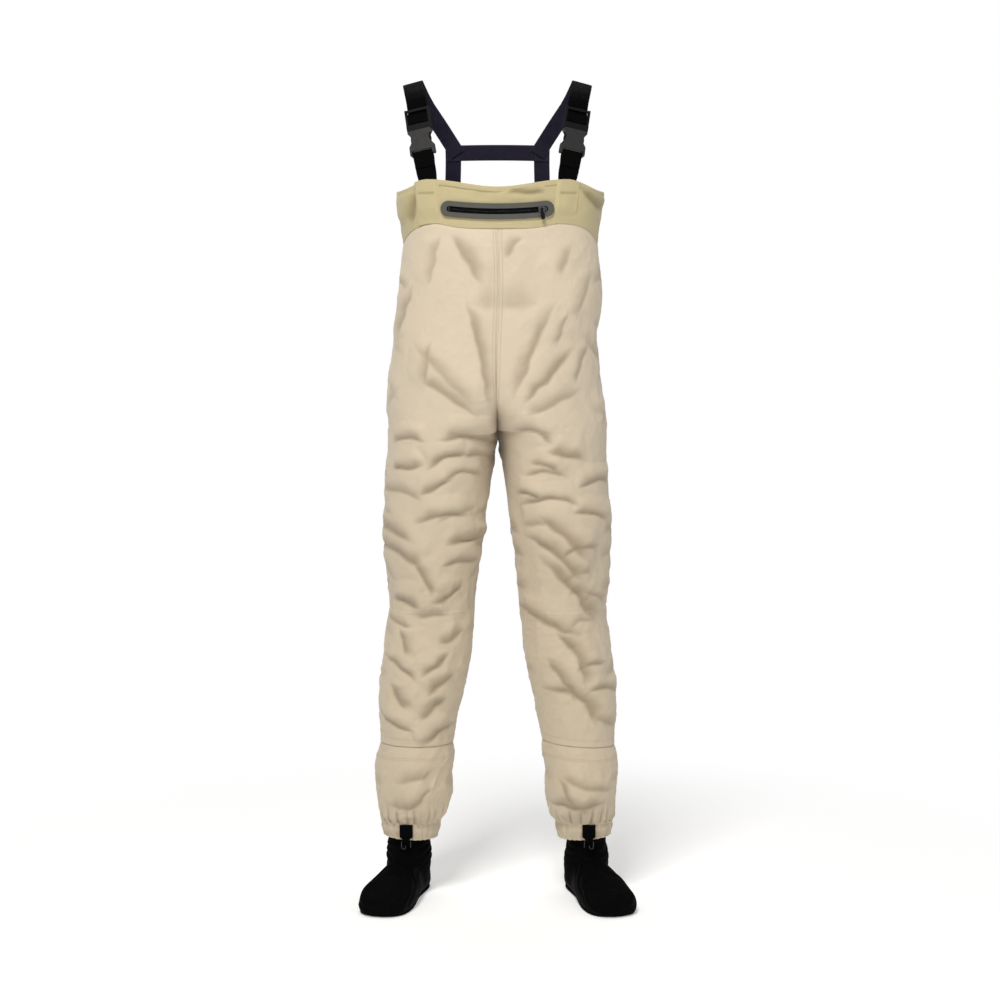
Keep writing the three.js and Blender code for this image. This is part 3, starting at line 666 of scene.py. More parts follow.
def webbing(name, colour, rib=0.0022, roughness=0.62, box=None, edge=None):
    """Woven strap with ribs across it. box is the length of the sewn box at each end, with the
    strap's length and half width."""
    p = Paint(name, roughness=roughness, specular=0.04)
    u, v = p.uv()
    ribs = p.math("ABSOLUTE", p.wave(v, rib))
    yarn = p.wave(p.add(u, p.times(ribs, 0.0002)), 0.0017)
    wear = p.noise(0.02, 4, 0.65)
    base = p.mix(p.times(p.math("SUBTRACT", wear, 0.3), 0.6), shade(colour, 0.8), shade(colour, 1.7))
    if edge:
        selvage = p.band(p.math("ABSOLUTE", u), edge, 0.0006, 0.0018)
        base = p.mix(p.times(selvage, 0.5), base, shade(colour, 2.2))
    thread_mask = None
    if box:
        size, length, half = box
        for start, end in ((0.003, size), (length - size, length - 0.003)):
            middle = (start + end) / 2
            inside = p.math("LESS_THAN", p.math("ABSOLUTE", p.math("SUBTRACT", v, middle)), (end - start) / 2)
            local = p.times(p.math("SUBTRACT", v, middle), 2 * half / (end - start))
            marks = [
                p.times(p.stitches(v, u, start + 0.0008), 1.0),
                p.times(p.stitches(v, u, end - 0.0008), 1.0),
                p.times(p.stitches(p.math("ABSOLUTE", u), v, half), inside),
                p.times(p.stitches(u, v, local), inside),
                p.times(p.stitches(u, v, p.times(local, -1)), inside),
            ]
            for mark in marks:
                thread_mask = p.math("MAXIMUM", thread_mask if thread_mask is not None else 0.0, mark)
        base = p.mix(p.times(thread_mask, 0.6), base, shade(colour, 3.0))
    p.set("Base Color", base)
    p.set("Roughness", p.add(roughness - 0.08, p.times(wear, 0.2)))
    p.bump(p.add(ribs, p.times(yarn, 0.35)), 0.00035)
    if thread_mask is not None:
        p.bump(thread_mask, 0.0004)
    p.bump(p.noise(0.0009, 2, 0.6), 0.0001)
    return p.material


def moulded(name, colour, roughness=0.38, specular=0.5):
    """Injection-moulded plastic with a fine spark texture and scuffs."""
    p = Paint(name, roughness=roughness, coat=0.08 * specular, specular=specular)
    scuff = p.noise(0.012, 5, 0.7, 0.4)
    p.set("Base Color", p.mix(p.times(scuff, 0.35), colour, shade(colour, 1.9)))
    p.set("Roughness", p.add(roughness - 0.08, p.times(scuff, 0.24)))
    p.bump(p.noise(0.00045, 2, 0.5), 0.00005)
    p.bump(p.noise(0.02, 3, 0.5), 0.00025)
    return p.material


def welded_film(name, colour):
    p = Paint(name, roughness=0.5, specular=0.3)
    mottle = p.noise(0.018, 4, 0.6)
    p.set("Base Color", p.mix(p.times(mottle, 0.5), colour, shade(colour, 1.5)))
    p.set("Roughness", p.add(0.42, p.times(mottle, 0.25)))
    p.bump(p.noise(0.012, 3, 0.5), 0.0004)
    p.bump(p.noise(0.0008, 2, 0.5), 0.00008)
    return p.material


def neoprene(name, colour, knit=0.0016):
    """Foam rubber with a knitted face."""
    p = Paint(name, roughness=0.78, specular=0.04)
    wear = p.noise(0.04, 4, 0.6)
    p.set("Base Color", p.mix(wear, shade(colour, 0.7), shade(colour, 1.6)))
    p.set("Roughness", p.add(0.7, p.times(wear, 0.2)))
    p.bump(p.noise(0.022, 3, 0.5, 0.3), 0.0009)
    p.bump(p.noise(knit, 2, 0.6, 0.2, stretch=(1, 1, 0.6)), 0.0003)
    return p.material


SAND = (0.64, 0.54, 0.40)
OLIVE = (0.50, 0.425, 0.235)
BLACK = (0.0016, 0.0016, 0.002)
NAVY = (0.027, 0.024, 0.043)
SHELL = shell_cloth("shell_cloth", SAND, shade(SAND, 0.7), (), (0.003, 0.0075))
# Shin, guard and cuff cloths are lighter copies of the sand, offsetting part of the painted leg shade in shell_cloth,
# which darkens every piece whose v lies below 0.95 m.
SHIN_CLOTH = shell_cloth("shin_cloth", shade(SAND, 1.06), shade(SAND, 0.7), (0.5515, 0.3095), (0.003, 0.0075))
GUARD_CLOTH = shell_cloth("guard_cloth", shade(SAND, 1.06), shade(SAND, 0.55), (0.2695, 0.2735, 0.149), (0.003,))
CUFF_CLOTH = shell_cloth("cuff_cloth", shade(SAND, 1.02), shade(SAND, 0.55), (0.1375, 0.118), (0.003,), crinkle=0.0006)
BAND_CLOTH = shell_cloth("band_cloth", OLIVE, shade(OLIVE, 0.6), (), (), crinkle=0.0009)
ANCHOR_CLOTH = shell_cloth("anchor_cloth", shade(OLIVE, 1.03), shade(OLIVE, 0.55), (), (), crinkle=0.0007)
LINING = lining("lining", (0.50, 0.47, 0.40))
BAND_LINING = lining("band_lining", (0.36, 0.31, 0.19))
POCKET = lining("pocket_cloth", (0.42, 0.41, 0.38))
TAPE = welded_film("seam_tape", (0.40, 0.39, 0.36))
FRONT_WEBBING = webbing("front_webbing", BLACK, edge=0.019)
BACK_WEBBING = webbing("back_webbing", NAVY, rib=0.0016, roughness=0.7, edge=0.015)
ELASTIC = webbing("elastic", (0.012, 0.012, 0.013), rib=0.0013)
PLUG_PLASTIC = moulded("plug_plastic", (0.003, 0.003, 0.0034), 0.5, 0.14)
SOCKET_PLASTIC = moulded("socket_plastic", (0.012, 0.011, 0.011), 0.36, 0.5)
FILM = welded_film("zip_surround", (0.075, 0.072, 0.062))
NEOPRENE = neoprene("neoprene", (0.0014, 0.0014, 0.0018))
SOLE = neoprene("sole_neoprene", (0.002, 0.002, 0.0024), 0.003)

# ---- trunk and thighs -----------------------------------------------------------------------


def band_bottom(y):
    """Height of the band's lower edge, which rises under the straps and drops at the sides."""
    low = BAND_BOTTOM
    rise = (low["strap"] - low["middle"]) * smooth((y + CHEST_DEPTH) / 22)
    return low["middle"] + rise - (low["strap"] - low["side"]) * smooth((y + CHEST_DEPTH - 20) / 106)



def band_top(x, y):
    top, reach = BAND_TOP, np.abs(x)
    centre = lerp(top["middle"], top["strap"], smooth(reach / STRAP_X))
    outside = lerp(top["strap"], top["side"], smooth((reach - STRAP_X) / (top["half_width"] - STRAP_X)))
    rear = lerp(top["side"], top["back"], smooth(y / CHEST_DEPTH))
    return np.where(y > 0, rear, np.where(reach < STRAP_X, centre, outside))


def half_ring(z, count):
    """Half of the garment at height z: from the front seam round the outside to the back seam."""
    outer, depth, crest, inner = (float(curve(BODY, z, k)) for k in (1, 2, 3, 5))
    squares = BODY.copy()
    squares[:, 4] **= 2
    seam = math.sqrt(max(float(curve(squares, z, 4)), 0)) if z > CROTCH else 0.0
    inner = max(inner, 0.0) if z < CROTCH else 0.0
    power = 2 / float(lerp(2, ROUNDNESS, smooth((z - CROTCH) / 220)))
    a = np.linspace(math.pi, 1.5 * math.pi, 60, endpoint=False)
    front = np.stack([crest + (crest - inner) * np.cos(a), -seam + (depth - seam) * np.sin(a)], -1)
    a = np.linspace(-math.pi / 2, math.pi / 2, 181)
    c, s = np.cos(a), np.sin(a)
    outside = np.stack(
        [crest + (outer - crest) * np.abs(c) ** power, depth * np.sign(s) * np.abs(s) ** power], -1
    )
    back = front[::-1] * (1, -1)
    ring, so_far = resample(np.vstack([front, outside, back]), count)
    ring[0, 0] = ring[-1, 0] = inner
    return ring, so_far


def sway(z):
    """How far the slack trunk has swung to the wearer's left at height z."""
    hips = -6 * smooth((z - 900) / 70)
    return (hips + 12 * smooth((z - 1040) / 120)) * smooth((z - 860) / 40)



def flank_shift(x):
    """How far the sides of the chest have swung, at distance x from the middle."""
    return 5.5 * smooth((np.abs(x) - 105) / 55)


def build_shell():
    """Both halves of the trunk and thighs, displaced together so that they meet at the seam."""
    step = 3.0
    cols = 190
    lower = np.arange(KNEE_SEAM, CROTCH, step)
    upper = np.linspace(CROTCH, 1272, int((1272 - CROTCH) / step))
    grid, u = [], []
    for z in np.concatenate([lower, upper]):
        ring, so_far = half_ring(z, cols)
        y = ring[:, 1]
        rise = smooth((z - 1090) / (1272 - 1090))
        height = z + rise * (band_bottom(y) + 9 - 1272)
        grid.append(np.column_stack([ring, height]))
        u.append(so_far)
    grid, u = np.array(grid), np.array(u)
    rows = len(grid)
    faces = grid_faces(rows, cols)
    uv = grid_uv(u, grid[..., 2])
    seam = np.minimum(u, u[:, -1:] - u).ravel() / 1000
    half = grid.reshape(-1, 3)
    both = np.vstack([half, half * (-1, 1, 1)])
    all_faces = np.vstack([faces, faces[:, ::-1] + len(half)])
    points, joined = welded(both, all_faces)
    seams = np.zeros(len(points))
    seams[joined.ravel()] = np.concatenate([seam, seam])[all_faces.ravel()]
    normals = vertex_normals(points, joined)
    x, y, z = points.T
    top_gap = band_bottom(y) + 9 - z
    hold = smooth((top_gap - 9) / 26) * lerp(0.45, 1, smooth(seams / 0.02))
    front = CHEST_FOLDS + FORK_FOLDS + THIGH_FOLDS["right"] + THIGH_FOLDS["left"]
    front = front + SHIN_FOLDS["right"][:2] + SHIN_FOLDS["left"][:2]
    back = mirrored_folds(THIGH_FOLDS["right"] + THIGH_FOLDS["left"] + FORK_FOLDS, 9)
    side = random_folds(21, 20, (-380, -220), (570, 1180), 1.7, (70, 150))
    side += random_folds(22, 20, (220, 380), (570, 1180), 1.7, (70, 150))
    knees = smooth((700 - z) / 120)
    moved, crease = drape(points, normals, front, back, side, 0.7 + 0.8 * knees, hold)
    swung = sway(z) * lerp(0.35, 1, smooth((np.abs(x) - 40) / 90))
    moved[:, 0] += lerp(swung, flank_shift(x), smooth((z - 1200) / 50))
    # Painted shade: a dark patch above the fork of the legs and down the inner thighs, added to the crease value.
    above = np.maximum(z - CROTCH, 0)
    below = np.maximum(CROTCH - z, 0)
    fork = np.exp(-((above / 44) ** 2) - (np.abs(x) / (7 + 0.12 * above)) ** 1.5)
    inner = np.exp(-((below / 95) ** 2) - np.maximum(np.abs(x) - 7 - 0.1 * below, 0) / 13)
    crease = np.maximum(crease, np.where(z > CROTCH, 1.35 * fork, 1.3 * inner))
    tucked = smooth((13 - top_gap) / 5)
    moved -= normals * (1.8 * tucked)[:, None]
    values = {"crease": crease, "seam": seams}
    for name, sign in SIDES:
        chosen = slice(0, len(faces)) if sign > 0 else slice(len(faces), None)
        corner = uv if sign > 0 else uv[:, ::-1]
        shell = make("shell_" + name, moved, joined[chosen], corner, [SHELL, LINING], values)
        keep(thicken(shell, 1.0), "garment", name + "_body_panel")


def leg_piece(name, side, sign, rows, heights, cols, cloth, front, back, crumple, hold, gather=None):
    """A tube of fabric round the leg, with its folds. front and back are in the leg's own x."""
    grid = tube_grid(rows, heights, cols)
    uv = tube_uv(grid)
    shape = grid.shape[:2]
    points = grid.reshape(-1, 3)
    faces = grid_faces(*shape, closed=True)[:, ::-1]
    normals = vertex_normals(points, faces)
    outward = points - np.repeat(grid.mean(1), shape[1], 0)
    if np.sum(normals * outward) < 0:
        faces, normals = faces[:, ::-1], -normals
    else:
        uv = uv[:, ::-1]
    points = points * (sign, 1, 1)
    normals = normals * (sign, 1, 1)
    span = (float(min(heights)), float(max(heights)))
    sides = random_folds(31 + sign, 8, (150, 420), span, 1.5, (60, 130))
    sides += random_folds(34 + sign, 8, (-420, -150), span, 1.5, (60, 130))
    moved, crease = drape(points, normals, front, back, sides, crumple, hold(points[:, 2]))
    if name.startswith("shin"):
        moved -= normals * (0.35 * smooth((points[:, 2] - KNEE_SEAM + 1) / 2))[:, None]
    if gather is not None:
        angle = np.arctan2(points[:, 1] - 4, np.abs(points[:, 0]) - 160)
        pleats = gather(angle, points[:, 2])
        moved += normals * pleats[:, None]
        # Painted shade in the hollows of the gathered pleats.
        crease = np.maximum(crease, 0.75 * smooth((-0.5 - pleats) / 2))
        inner = smooth((154 - np.abs(moved[:, 0])) / 50) * smooth((285 - moved[:, 2]) / 50)
        moved[:, 0] += sign * 7.5 * inner * smooth((moved[:, 2] - 150) / 40)
    if sign > 0:  # the slack fabric of the left leg hangs lower on the outside
        moved[:, 2] -= 0.07 * (moved[:, 0] - 154) * smooth((345 - moved[:, 2]) / 45) * smooth((moved[:, 2] - 205) / 60)
    reach = np.arange(shape[1])
    seam = np.minimum(reach, shape[1] - reach) / shape[1] * 2 * math.pi * 0.07
    values = {"crease": crease, "seam": np.tile(seam, shape[0])}
    moved = moved * (sign, 1, 1)
    return make(name, moved, faces, uv, [cloth, LINING], values, mirror=sign < 0)


def build_shin(side, sign):
    heights = np.linspace(KNEE_SEAM + 4, HEM, 100)
    front = SHIN_FOLDS[side] + THIGH_FOLDS[side]
    other = "left" if side == "right" else "right"
    back = mirrored_folds(SHIN_FOLDS[other], 5)
    shin = leg_piece(
        "shin_" + side,
        side,
        sign,
        SHIN,
        heights,
        150,
        SHIN_CLOTH,
        front,
        back,
        1.5,
        lambda z: smooth((z - HEM + 2) / 22) * 0.8 + 0.2,
    )
    keep(thicken(shin, 1.1), "garment", side + "_shin_panel")


def build_guard(side, sign):
    heights = np.linspace(309, 142, 60)
    other = "left" if side == "right" else "right"

    def gather(angle, z):
        pleats = np.cos(22 * angle + 1.8 * np.sin(3 * angle + sign)) * 1.9 + 1.0 * np.cos(35 * angle + 2)
        return pleats * smooth((196 - z) / 48) * (0.35 + 0.65 * smooth((z - 140) / 6))

    guard = leg_piece(
        "guard_" + side,
        side,
        sign,
        GUARD,
        heights,
        180,
        GUARD_CLOTH,
        GUARD_FOLDS[side],
        mirrored_folds(GUARD_FOLDS[other], 6),
        1.5,
        lambda z: smooth((300 - z) / 24) * smooth((z - 140) / 16),
        gather,
    )
    thicken(guard, 1.0)
    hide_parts(side + "_gravel_guard")
    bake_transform(guard)


def build_cuff(side, sign):
    heights = np.concatenate([[144, 143], np.linspace(141, 113, 18), [112]])

    def gather(angle, z):
        pleats = 1.1 * np.cos(27 * angle + np.sin(4 * angle)) + 0.4 * np.cos(41 * angle + 1)
        channel = 1 - 0.5 * smooth(1 - np.abs(z - 137.5) / 3) - 0.5 * smooth(1 - np.abs(z - 118) / 3)
        return pleats * channel + 1.2 * smooth(1 - np.abs(z - 128) / 10)

    cuff = leg_piece(
        "cuff_" + side, side, sign, CUFF, heights, 200, CUFF_CLOTH, [], [], 0.25, lambda z: z * 0 + 1, gather
    )
    co = np.array([v.co for v in cuff.data.vertices], float)
    low = smooth((0.14 - co[:, 2]) / 0.028)
    inner = (0.167 - np.abs(co[:, 0])) / 0.054  # the lower edge dips on the inside of the leg
    co[:, 2] -= 0.0028 * inner * low
    cuff.data.vertices.foreach_set("co", co.ravel())
    keep(thicken(cuff, 1.6), side + "_cuff", side + "_guard_cuff")
    rows = [[137, 166, 49, 49, 4], [119, 167, 45, 46, 4]]
    elastic = leg_piece(
        "elastic_" + side, side, sign, rows, [137, 132, 128, 124, 119], 90, ELASTIC, [], [], 0.1, lambda z: z * 0 + 1
    )
    elastic.data.materials[1] = ELASTIC
    keep(thicken(elastic, 1.2), side + "_cuff", side + "_guard_elastic")


def build_sleeve(side, sign):
    sleeve = leg_piece(
        "sleeve_" + side,
        side,
        sign,
        SLEEVE,
        np.linspace(340, 166, 36),
        90,
        SHIN_CLOTH,
        [],
        [],
        0.9,
        lambda z: smooth((z - 166) / 20),
    )
    keep(thicken(sleeve, 1.0), "garment", side + "_leg_sleeve")


# ---- chest band -----------------------------------------------------------------------------

ZIP_MIDDLE = np.array([0, -CHEST_DEPTH - 1.1, ZIP["z"]])
ZIP_AXIS = np.array([0, -math.sin(ZIP["tilt"]), math.cos(ZIP["tilt"])])
ZIP_OUT = np.array([0, math.cos(ZIP["tilt"]), math.sin(ZIP["tilt"])])
ZIP_PIVOT = ZIP_MIDDLE + ZIP_OUT * ZIP["radius"]


def wrap(points):
    """Bends flat points, drawn with x along the zip and -y outwards, round the chest."""
    points = np.asarray(points, float)
    flat = points * (0, 1, 1) + ZIP_MIDDLE - ZIP_PIVOT
    angle = (points[..., 0] / ZIP["radius"])[..., None]
    along = (flat @ ZIP_AXIS)[..., None] * ZIP_AXIS
    turned = flat * np.cos(angle) + np.cross(ZIP_AXIS, flat) * np.sin(angle) + along * (1 - np.cos(angle))
    return turned + ZIP_PIVOT


def band_outline(cols):
    """Directions of the band's outline at even steps, starting at the middle of the back."""
    a = np.linspace(math.pi / 2, 2.5 * math.pi, 1441)
    c, s = np.cos(a), np.sin(a)
    power = 2 / ROUNDNESS
    unit = np.stack([np.sign(c) * np.abs(c) ** power, np.sign(s) * np.abs(s) ** power], -1)
    mean = unit * (188, CHEST_DEPTH)
    steps = np.linalg.norm(np.diff(mean, axis=0), axis=1)
    so_far = np.concatenate([[0], np.cumsum(steps)])
    at = np.linspace(0, so_far[-1], cols + 1)[:-1]
    return np.stack([np.interp(at, so_far, unit[:, k]) for k in (0, 1)], -1), at, so_far[-1]


def band_point(unit, share, out):
    """A point of the band: share 0 is its lower edge and 1 its upper edge."""
    x, y = unit[..., 0] * BAND_TOP["half_width"], unit[..., 1] * CHEST_DEPTH
    z = lerp(band_bottom(y), band_top(x, y), share)
    width = lerp(BAND_BOTTOM["half_width"], BAND_TOP["half_width"], share)
    flat = np.stack([unit[..., 0] * width, y, z], -1)
    normal = np.stack([unit[..., 0] / width, unit[..., 1] / CHEST_DEPTH, 0 * y], -1)
    normal /= np.linalg.norm(normal, axis=-1)[..., None]
    return flat + normal * np.asarray(out)[..., None], normal


def band_swell(points):
    """Slow waves of the slack band."""
    return 0.9 * waves(points * (1, 1, 0.35), 95, 41) + 0.35 * waves(points, 34, 42)


def build_band():
    cols = 330
    rows = 30
    unit, at, girth = band_outline(cols)
    share = np.linspace(0, 1, rows)[:, None]
    units = np.broadcast_to(unit, (rows, cols, 2))
    points, normal = band_point(units, share, np.full((rows, cols), 0.5))
    flat, out = points.reshape(-1, 3), normal.reshape(-1, 3)
    front = smooth((0.1 - out[:, 1]) / 0.4)
    height, crease = fold_field(flat[:, 0], flat[:, 2], BAND_FOLDS)
    near_zip = smooth((118 - np.abs(flat[:, 0])) / 12) * front * smooth((1327 - flat[:, 2]) / 10)
    swell = band_swell(flat)
    edge = smooth(np.minimum(share, 1 - share) / 0.2)
    edge = np.broadcast_to(edge, (rows, cols)).ravel()
    height = (height * front * edge + swell * lerp(0.4, 1, edge)) * (1 - 0.92 * near_zip)
    moved = flat + out * height[:, None]
    moved[:, 0] += flank_shift(flat[:, 0])
    faces = grid_faces(rows, cols, closed=True)
    u = np.broadcast_to(np.append(at, girth), (rows, cols + 1))
    v = np.concatenate([points[..., 2], points[:, :1, 2]], 1)
    uv = grid_uv(u, v)
    centre = flat[faces].mean(1)
    across = ((centre - ZIP_MIDDLE) @ ZIP_AXIS) / math.cos(ZIP["tilt"])
    slot = (np.abs(across) < 6.5) & (np.abs(centre[:, 0]) < 98) & (centre[:, 1] < 0)
    values = {"crease": crease * front, "seam": np.full(len(flat), 1.0)}
    lower = np.tile(np.arange(cols * rows) // cols / (rows - 1), 1)
    values["seam"] = np.where(lower < 2, (flat[:, 2] - band_bottom(flat[:, 1])) / 1000, 1.0)
    faces, uv = faces[~slot], uv[~slot]
    band = make("band", moved, faces, uv, [BAND_CLOTH, BAND_LINING], values)
    keep(thicken(band, 1.4), "garment", "chest_band")
    build_binding(unit, at, girth)


def build_binding(unit, at, girth):
    """The folded hem along the top of the band."""
    cols = len(unit)
    profile = np.array(
        [[0.2, -10], [1.0, -9.6], [1.1, -6], [1.1, -2], [0.9, 0.4], [0, 1.2], [-1.3, 0.4], [-1.8, -2], [-1.9, -6], [-1.5, -9.6]]
    )
    top, normal = band_point(unit, np.ones(cols), np.zeros(cols))
    ripple = 0.4 * band_swell(top)
    out = profile[:, 0][:, None] + ripple
    points = top[None] + normal[None] * out[..., None]
    points[..., 2] += profile[:, 1][:, None]
    points[..., 0] += flank_shift(points[..., 0])
    rows = len(profile)
    faces = grid_faces(rows, cols, closed=True)
    length = np.concatenate([[0], np.cumsum(np.linalg.norm(np.diff(profile, axis=0), axis=1))])
    u = np.broadcast_to(np.append(at, girth), (rows, cols + 1))
    v = np.broadcast_to(length[:, None], u.shape)
    values = {"crease": np.zeros(rows * cols), "seam": np.repeat(length, cols) / 1000 + 0.002}
    flat = points.reshape(-1, 3)
    hem = make("band_hem", flat, faces, grid_uv(u, v), [HEM_CLOTH], values)
    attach(hem, "garment")


# A lighter copy of the olive, cancelling the painted leg shade of shell_cloth, which the hem's short v would otherwise
# get.
HEM_CLOTH = shell_cloth("hem_cloth", shade(OLIVE, 1.09), shade(OLIVE, 0.6), (0.002,), (), crinkle=0.0005)


def build_anchor(side, sign):
    """The fabric tunnel sewn on the band, which the front strap goes down into."""
    unit, _, girth = band_outline(4000)
    centre = np.argmin(np.hypot(unit[:, 0] * 187.5 - STRAP_X, (unit[:, 1] > 0) * 1e3))
    across = np.linspace(-26, 26, 41)
    rise = np.linspace(0, 1, 46)[:, None]
    index = (centre + np.round(across / girth * 4000).astype(int)) % 4000
    units = np.broadcast_to(unit[index], (len(rise), len(across), 2))
    x, y = units[..., 0] * BAND_TOP["half_width"], units[..., 1] * CHEST_DEPTH
    z = lerp(band_bottom(y) + 1, band_top(x, y) + 1.2, rise)
    share = (z - band_bottom(y)) / (band_top(x, y) - band_bottom(y))
    flat_top = smooth((26.4 - np.abs(across)) / 7.5)[None]
    taper = smooth((z - 1282) / 28)
    middle = smooth((19 - np.abs(across)) / 4)[None]
    quilt = 1 - 0.2 * middle * np.exp(-(((z - 1334) / 2.2) ** 2))
    out = 0.6 + 4.8 * flat_top * lerp(0.06, 1, taper) * quilt
    out = out + 0.25 * waves(np.stack([x, y, z], -1), 26, 51 + sign) * flat_top
    points, _ = band_point(units, share, out)
    rows, cols = points.shape[:2]
    faces = grid_faces(rows, cols)
    u = np.broadcast_to(across, (rows, cols))
    uv = grid_uv(u, z)
    seam = np.broadcast_to(26 - np.abs(across), (rows, cols)).ravel() / 1000
    # Painted shade along the stitched dip near the top of the tunnel: the crease value darkens it.
    values = {"crease": (1 - quilt).ravel() * 3.6, "seam": seam + 0.004}
    flat = points.reshape(-1, 3)
    normal = vertex_normals(flat, faces)
    if np.sum(normal[:, 1]) > 0:
        faces, uv = faces[:, ::-1], uv[:, ::-1]
    anchor = make("anchor_" + side, flat, faces, uv, [ANCHOR_CLOTH, BAND_LINING], values, sign < 0)
    keep(thicken(anchor, 1.0), "garment", side + "_strap_anchor")


# ---- pocket zip -----------------------------------------------------------------------------


def strip(name, profile, x0, x1, cols, material, ripple=0.0):
    """A bent strip along the zip, from its section profile of (y, z) points."""
    x = np.linspace(x0, x1, cols)
    profile = np.asarray(profile, float)
    grid = np.zeros((len(x), len(profile), 3))
    grid[..., 0] = x[:, None]
    grid[..., 1:] = profile
    grid[..., 1] += ripple * waves(np.stack([x, x * 0], -1), 30, 61)[:, None]
    points = wrap(grid).reshape(-1, 3)
    faces = grid_faces(*grid.shape[:2], closed=True)
    v = np.broadcast_to(x[:, None], (len(x), len(profile) + 1))
    u = np.broadcast_to(np.append(profile[:, 1], profile[0, 1]), v.shape)
    uv = grid_uv(u, v)
    a, b, c, d = (points[faces[:, k]] for k in range(4))
    middle = points.mean(0)
    if np.sum(np.cross(c - a, d - b) * ((a + c) / 2 - middle)) < 0:
        faces, uv = faces[:, ::-1], uv[:, ::-1]
    return make(name, points, faces, uv, [material])


def build_zip():
    tape = webbing("zip_tape", (0.006, 0.0062, 0.008), rib=0.0009, roughness=0.5)
    coil_paint = Paint("zip_coil", roughness=0.22, coat=0.4, specular=0.7)
    _, v = coil_paint.uv()
    wear = coil_paint.noise(0.006, 3, 0.6)
    coil_paint.set("Base Color", coil_paint.mix(wear, (0.006, 0.006, 0.008), (0.02, 0.02, 0.024)))
    coil_paint.bump(coil_paint.noise(0.0006, 2, 0.5), 0.00005)
    coil = coil_paint.material
    half = ZIP["opening"] / 2 + 4
    for end, word in ((1, "upper"), (-1, "lower")):
        inside, outside = end * 1.0, end * 10.6
        section = [(-1.2, inside), (-1.5, end * 2.0), (-1.25, end * 6), (-1.2, outside), (-0.4, outside), (-0.4, inside)]
        piece = strip("zip_tape_" + word, section, -half, half, 90, tape, 0.12)
        keep(piece, "garment", f"zip_{word}_tape")
        turns = 120
        steps = 10
        t = np.linspace(0, turns, turns * steps + 1)
        x = lerp(-ZIP["opening"] / 2 + 1, ZIP["opening"] / 2 - 1, t / turns)
        angle = 2 * math.pi * t + (0 if end > 0 else math.pi)
        centre = np.stack([x, 1.6 + 0.85 * np.cos(angle), end * 1.9 - end * 1.45 * np.sin(angle)], -1)
        ahead = np.gradient(centre, axis=0)
        ahead /= np.linalg.norm(ahead, axis=1)[:, None]
        side = np.cross(ahead, (1.0, 0, 0))
        side /= np.linalg.norm(side, axis=1)[:, None]
        third = np.cross(ahead, side)
        ring = np.linspace(0, 2 * math.pi, 6, endpoint=False)
        tube = centre[:, None] + 0.36 * (side[:, None] * np.cos(ring)[:, None] + third[:, None] * np.sin(ring)[:, None])
        faces = grid_faces(*tube.shape[:2], closed=True)
        points = wrap(tube).reshape(-1, 3)
        wire = make("zip_coil_" + word, points, faces, None, [coil])
        keep(wire, "garment", f"zip_{word}_coil")
    return coil


def build_pocket():
    """The pocket's soft bag, behind the zip."""
    x, z = np.meshgrid(np.linspace(-105, 105, 56), np.linspace(-175, 17, 52))
    edge = np.minimum(105 - np.abs(x), np.minimum(17 - z, z + 175))
    puff = 2.2 * smooth(edge / 16)
    fold = 0.6 * waves(np.stack([x, z], -1), 46, 71) * smooth(edge / 20)
    front = wrap(np.stack([x, 12 - puff + fold, z], -1))
    back = wrap(np.stack([x, 12.4 + puff + fold, z], -1))
    rows, cols = x.shape
    sheet = grid_faces(rows, cols)
    ring = np.concatenate(
        [
            np.arange(cols),
            np.arange(1, rows) * cols + cols - 1,
            (rows - 1) * cols + np.arange(cols - 2, -1, -1),
            np.arange(rows - 2, 0, -1) * cols,
        ]
    )
    after = np.roll(ring, -1)
    rim = np.stack([ring, ring + rows * cols, after + rows * cols, after], -1)
    faces = np.vstack([sheet, sheet[:, ::-1] + rows * cols, rim])
    uv = grid_uv(x, z)
    uv = np.concatenate([uv, uv[:, ::-1], np.zeros((len(rim), 4, 2))])
    bag = make("pocket", np.vstack([front.reshape(-1, 3), back.reshape(-1, 3)]), faces, uv, [POCKET])
    keep(bag, "garment", "pocket_bag")


# ---- straps ---------------------------------------------------------------------------------

MOUTH = np.array([143, -77, 1450])
UP = np.array([0.148, 0.25, 0.957])
UP = UP / np.linalg.norm(UP)
ACROSS = np.array([1, 0.3, 0])
ACROSS = ACROSS - UP * (UP @ ACROSS)
ACROSS = ACROSS / np.linalg.norm(ACROSS)
BACKWARD = np.cross(UP, ACROSS)
TURN = 3.6
ANCHOR_TILT = math.radians(28)
CROSSING = {"x": 86, "z": 1417}
LAYER = {"back": 112, "cross": 109.8, "yoke": 109.6}


def in_buckle(x, y, z):
    return MOUTH + ACROSS * x + BACKWARD * y + UP * z


def strap_point(y, z):
    return in_buckle(0, y, z), ACROSS


def turn(z, way, start):
    """Webbing turning round a bar at height z, over its top or, with way -1, under it."""
    angles = [math.radians(a) for a in (0, 30, 60, 90, 120, 150, 180)]
    return [strap_point(start * TURN * math.cos(a), z + way * TURN * math.sin(a)) for a in angles]


def shoulder_line():
    over = [
        in_buckle(0, TURN, 48),
        in_buckle(0, TURN, 62),
        (155.2, -38, 1528),
        (158, -8, 1541),
        (154.5, 22, 1535),
        (136.5, 58, 1506),
        (112, 88, 1470),
        (93, LAYER["yoke"] - 3, 1441),
        (84, LAYER["yoke"], 1427),
        (76, LAYER["yoke"], 1414),
    ]
    line, _ = resample(rounded(over, 12), 27)
    leans = np.radians(np.interp(np.linspace(0, 5, 27), range(6), [0, 12, 21, 27, 32, 33]))
    stations = []
    for k, (point, lean) in enumerate(zip(line, leans)):
        turned = np.array([math.cos(lean), 0, -math.sin(lean)])
        stations.append((point, lerp(ACROSS, turned, float(smooth(k / 26 * 5 / 2)))))
    return stations


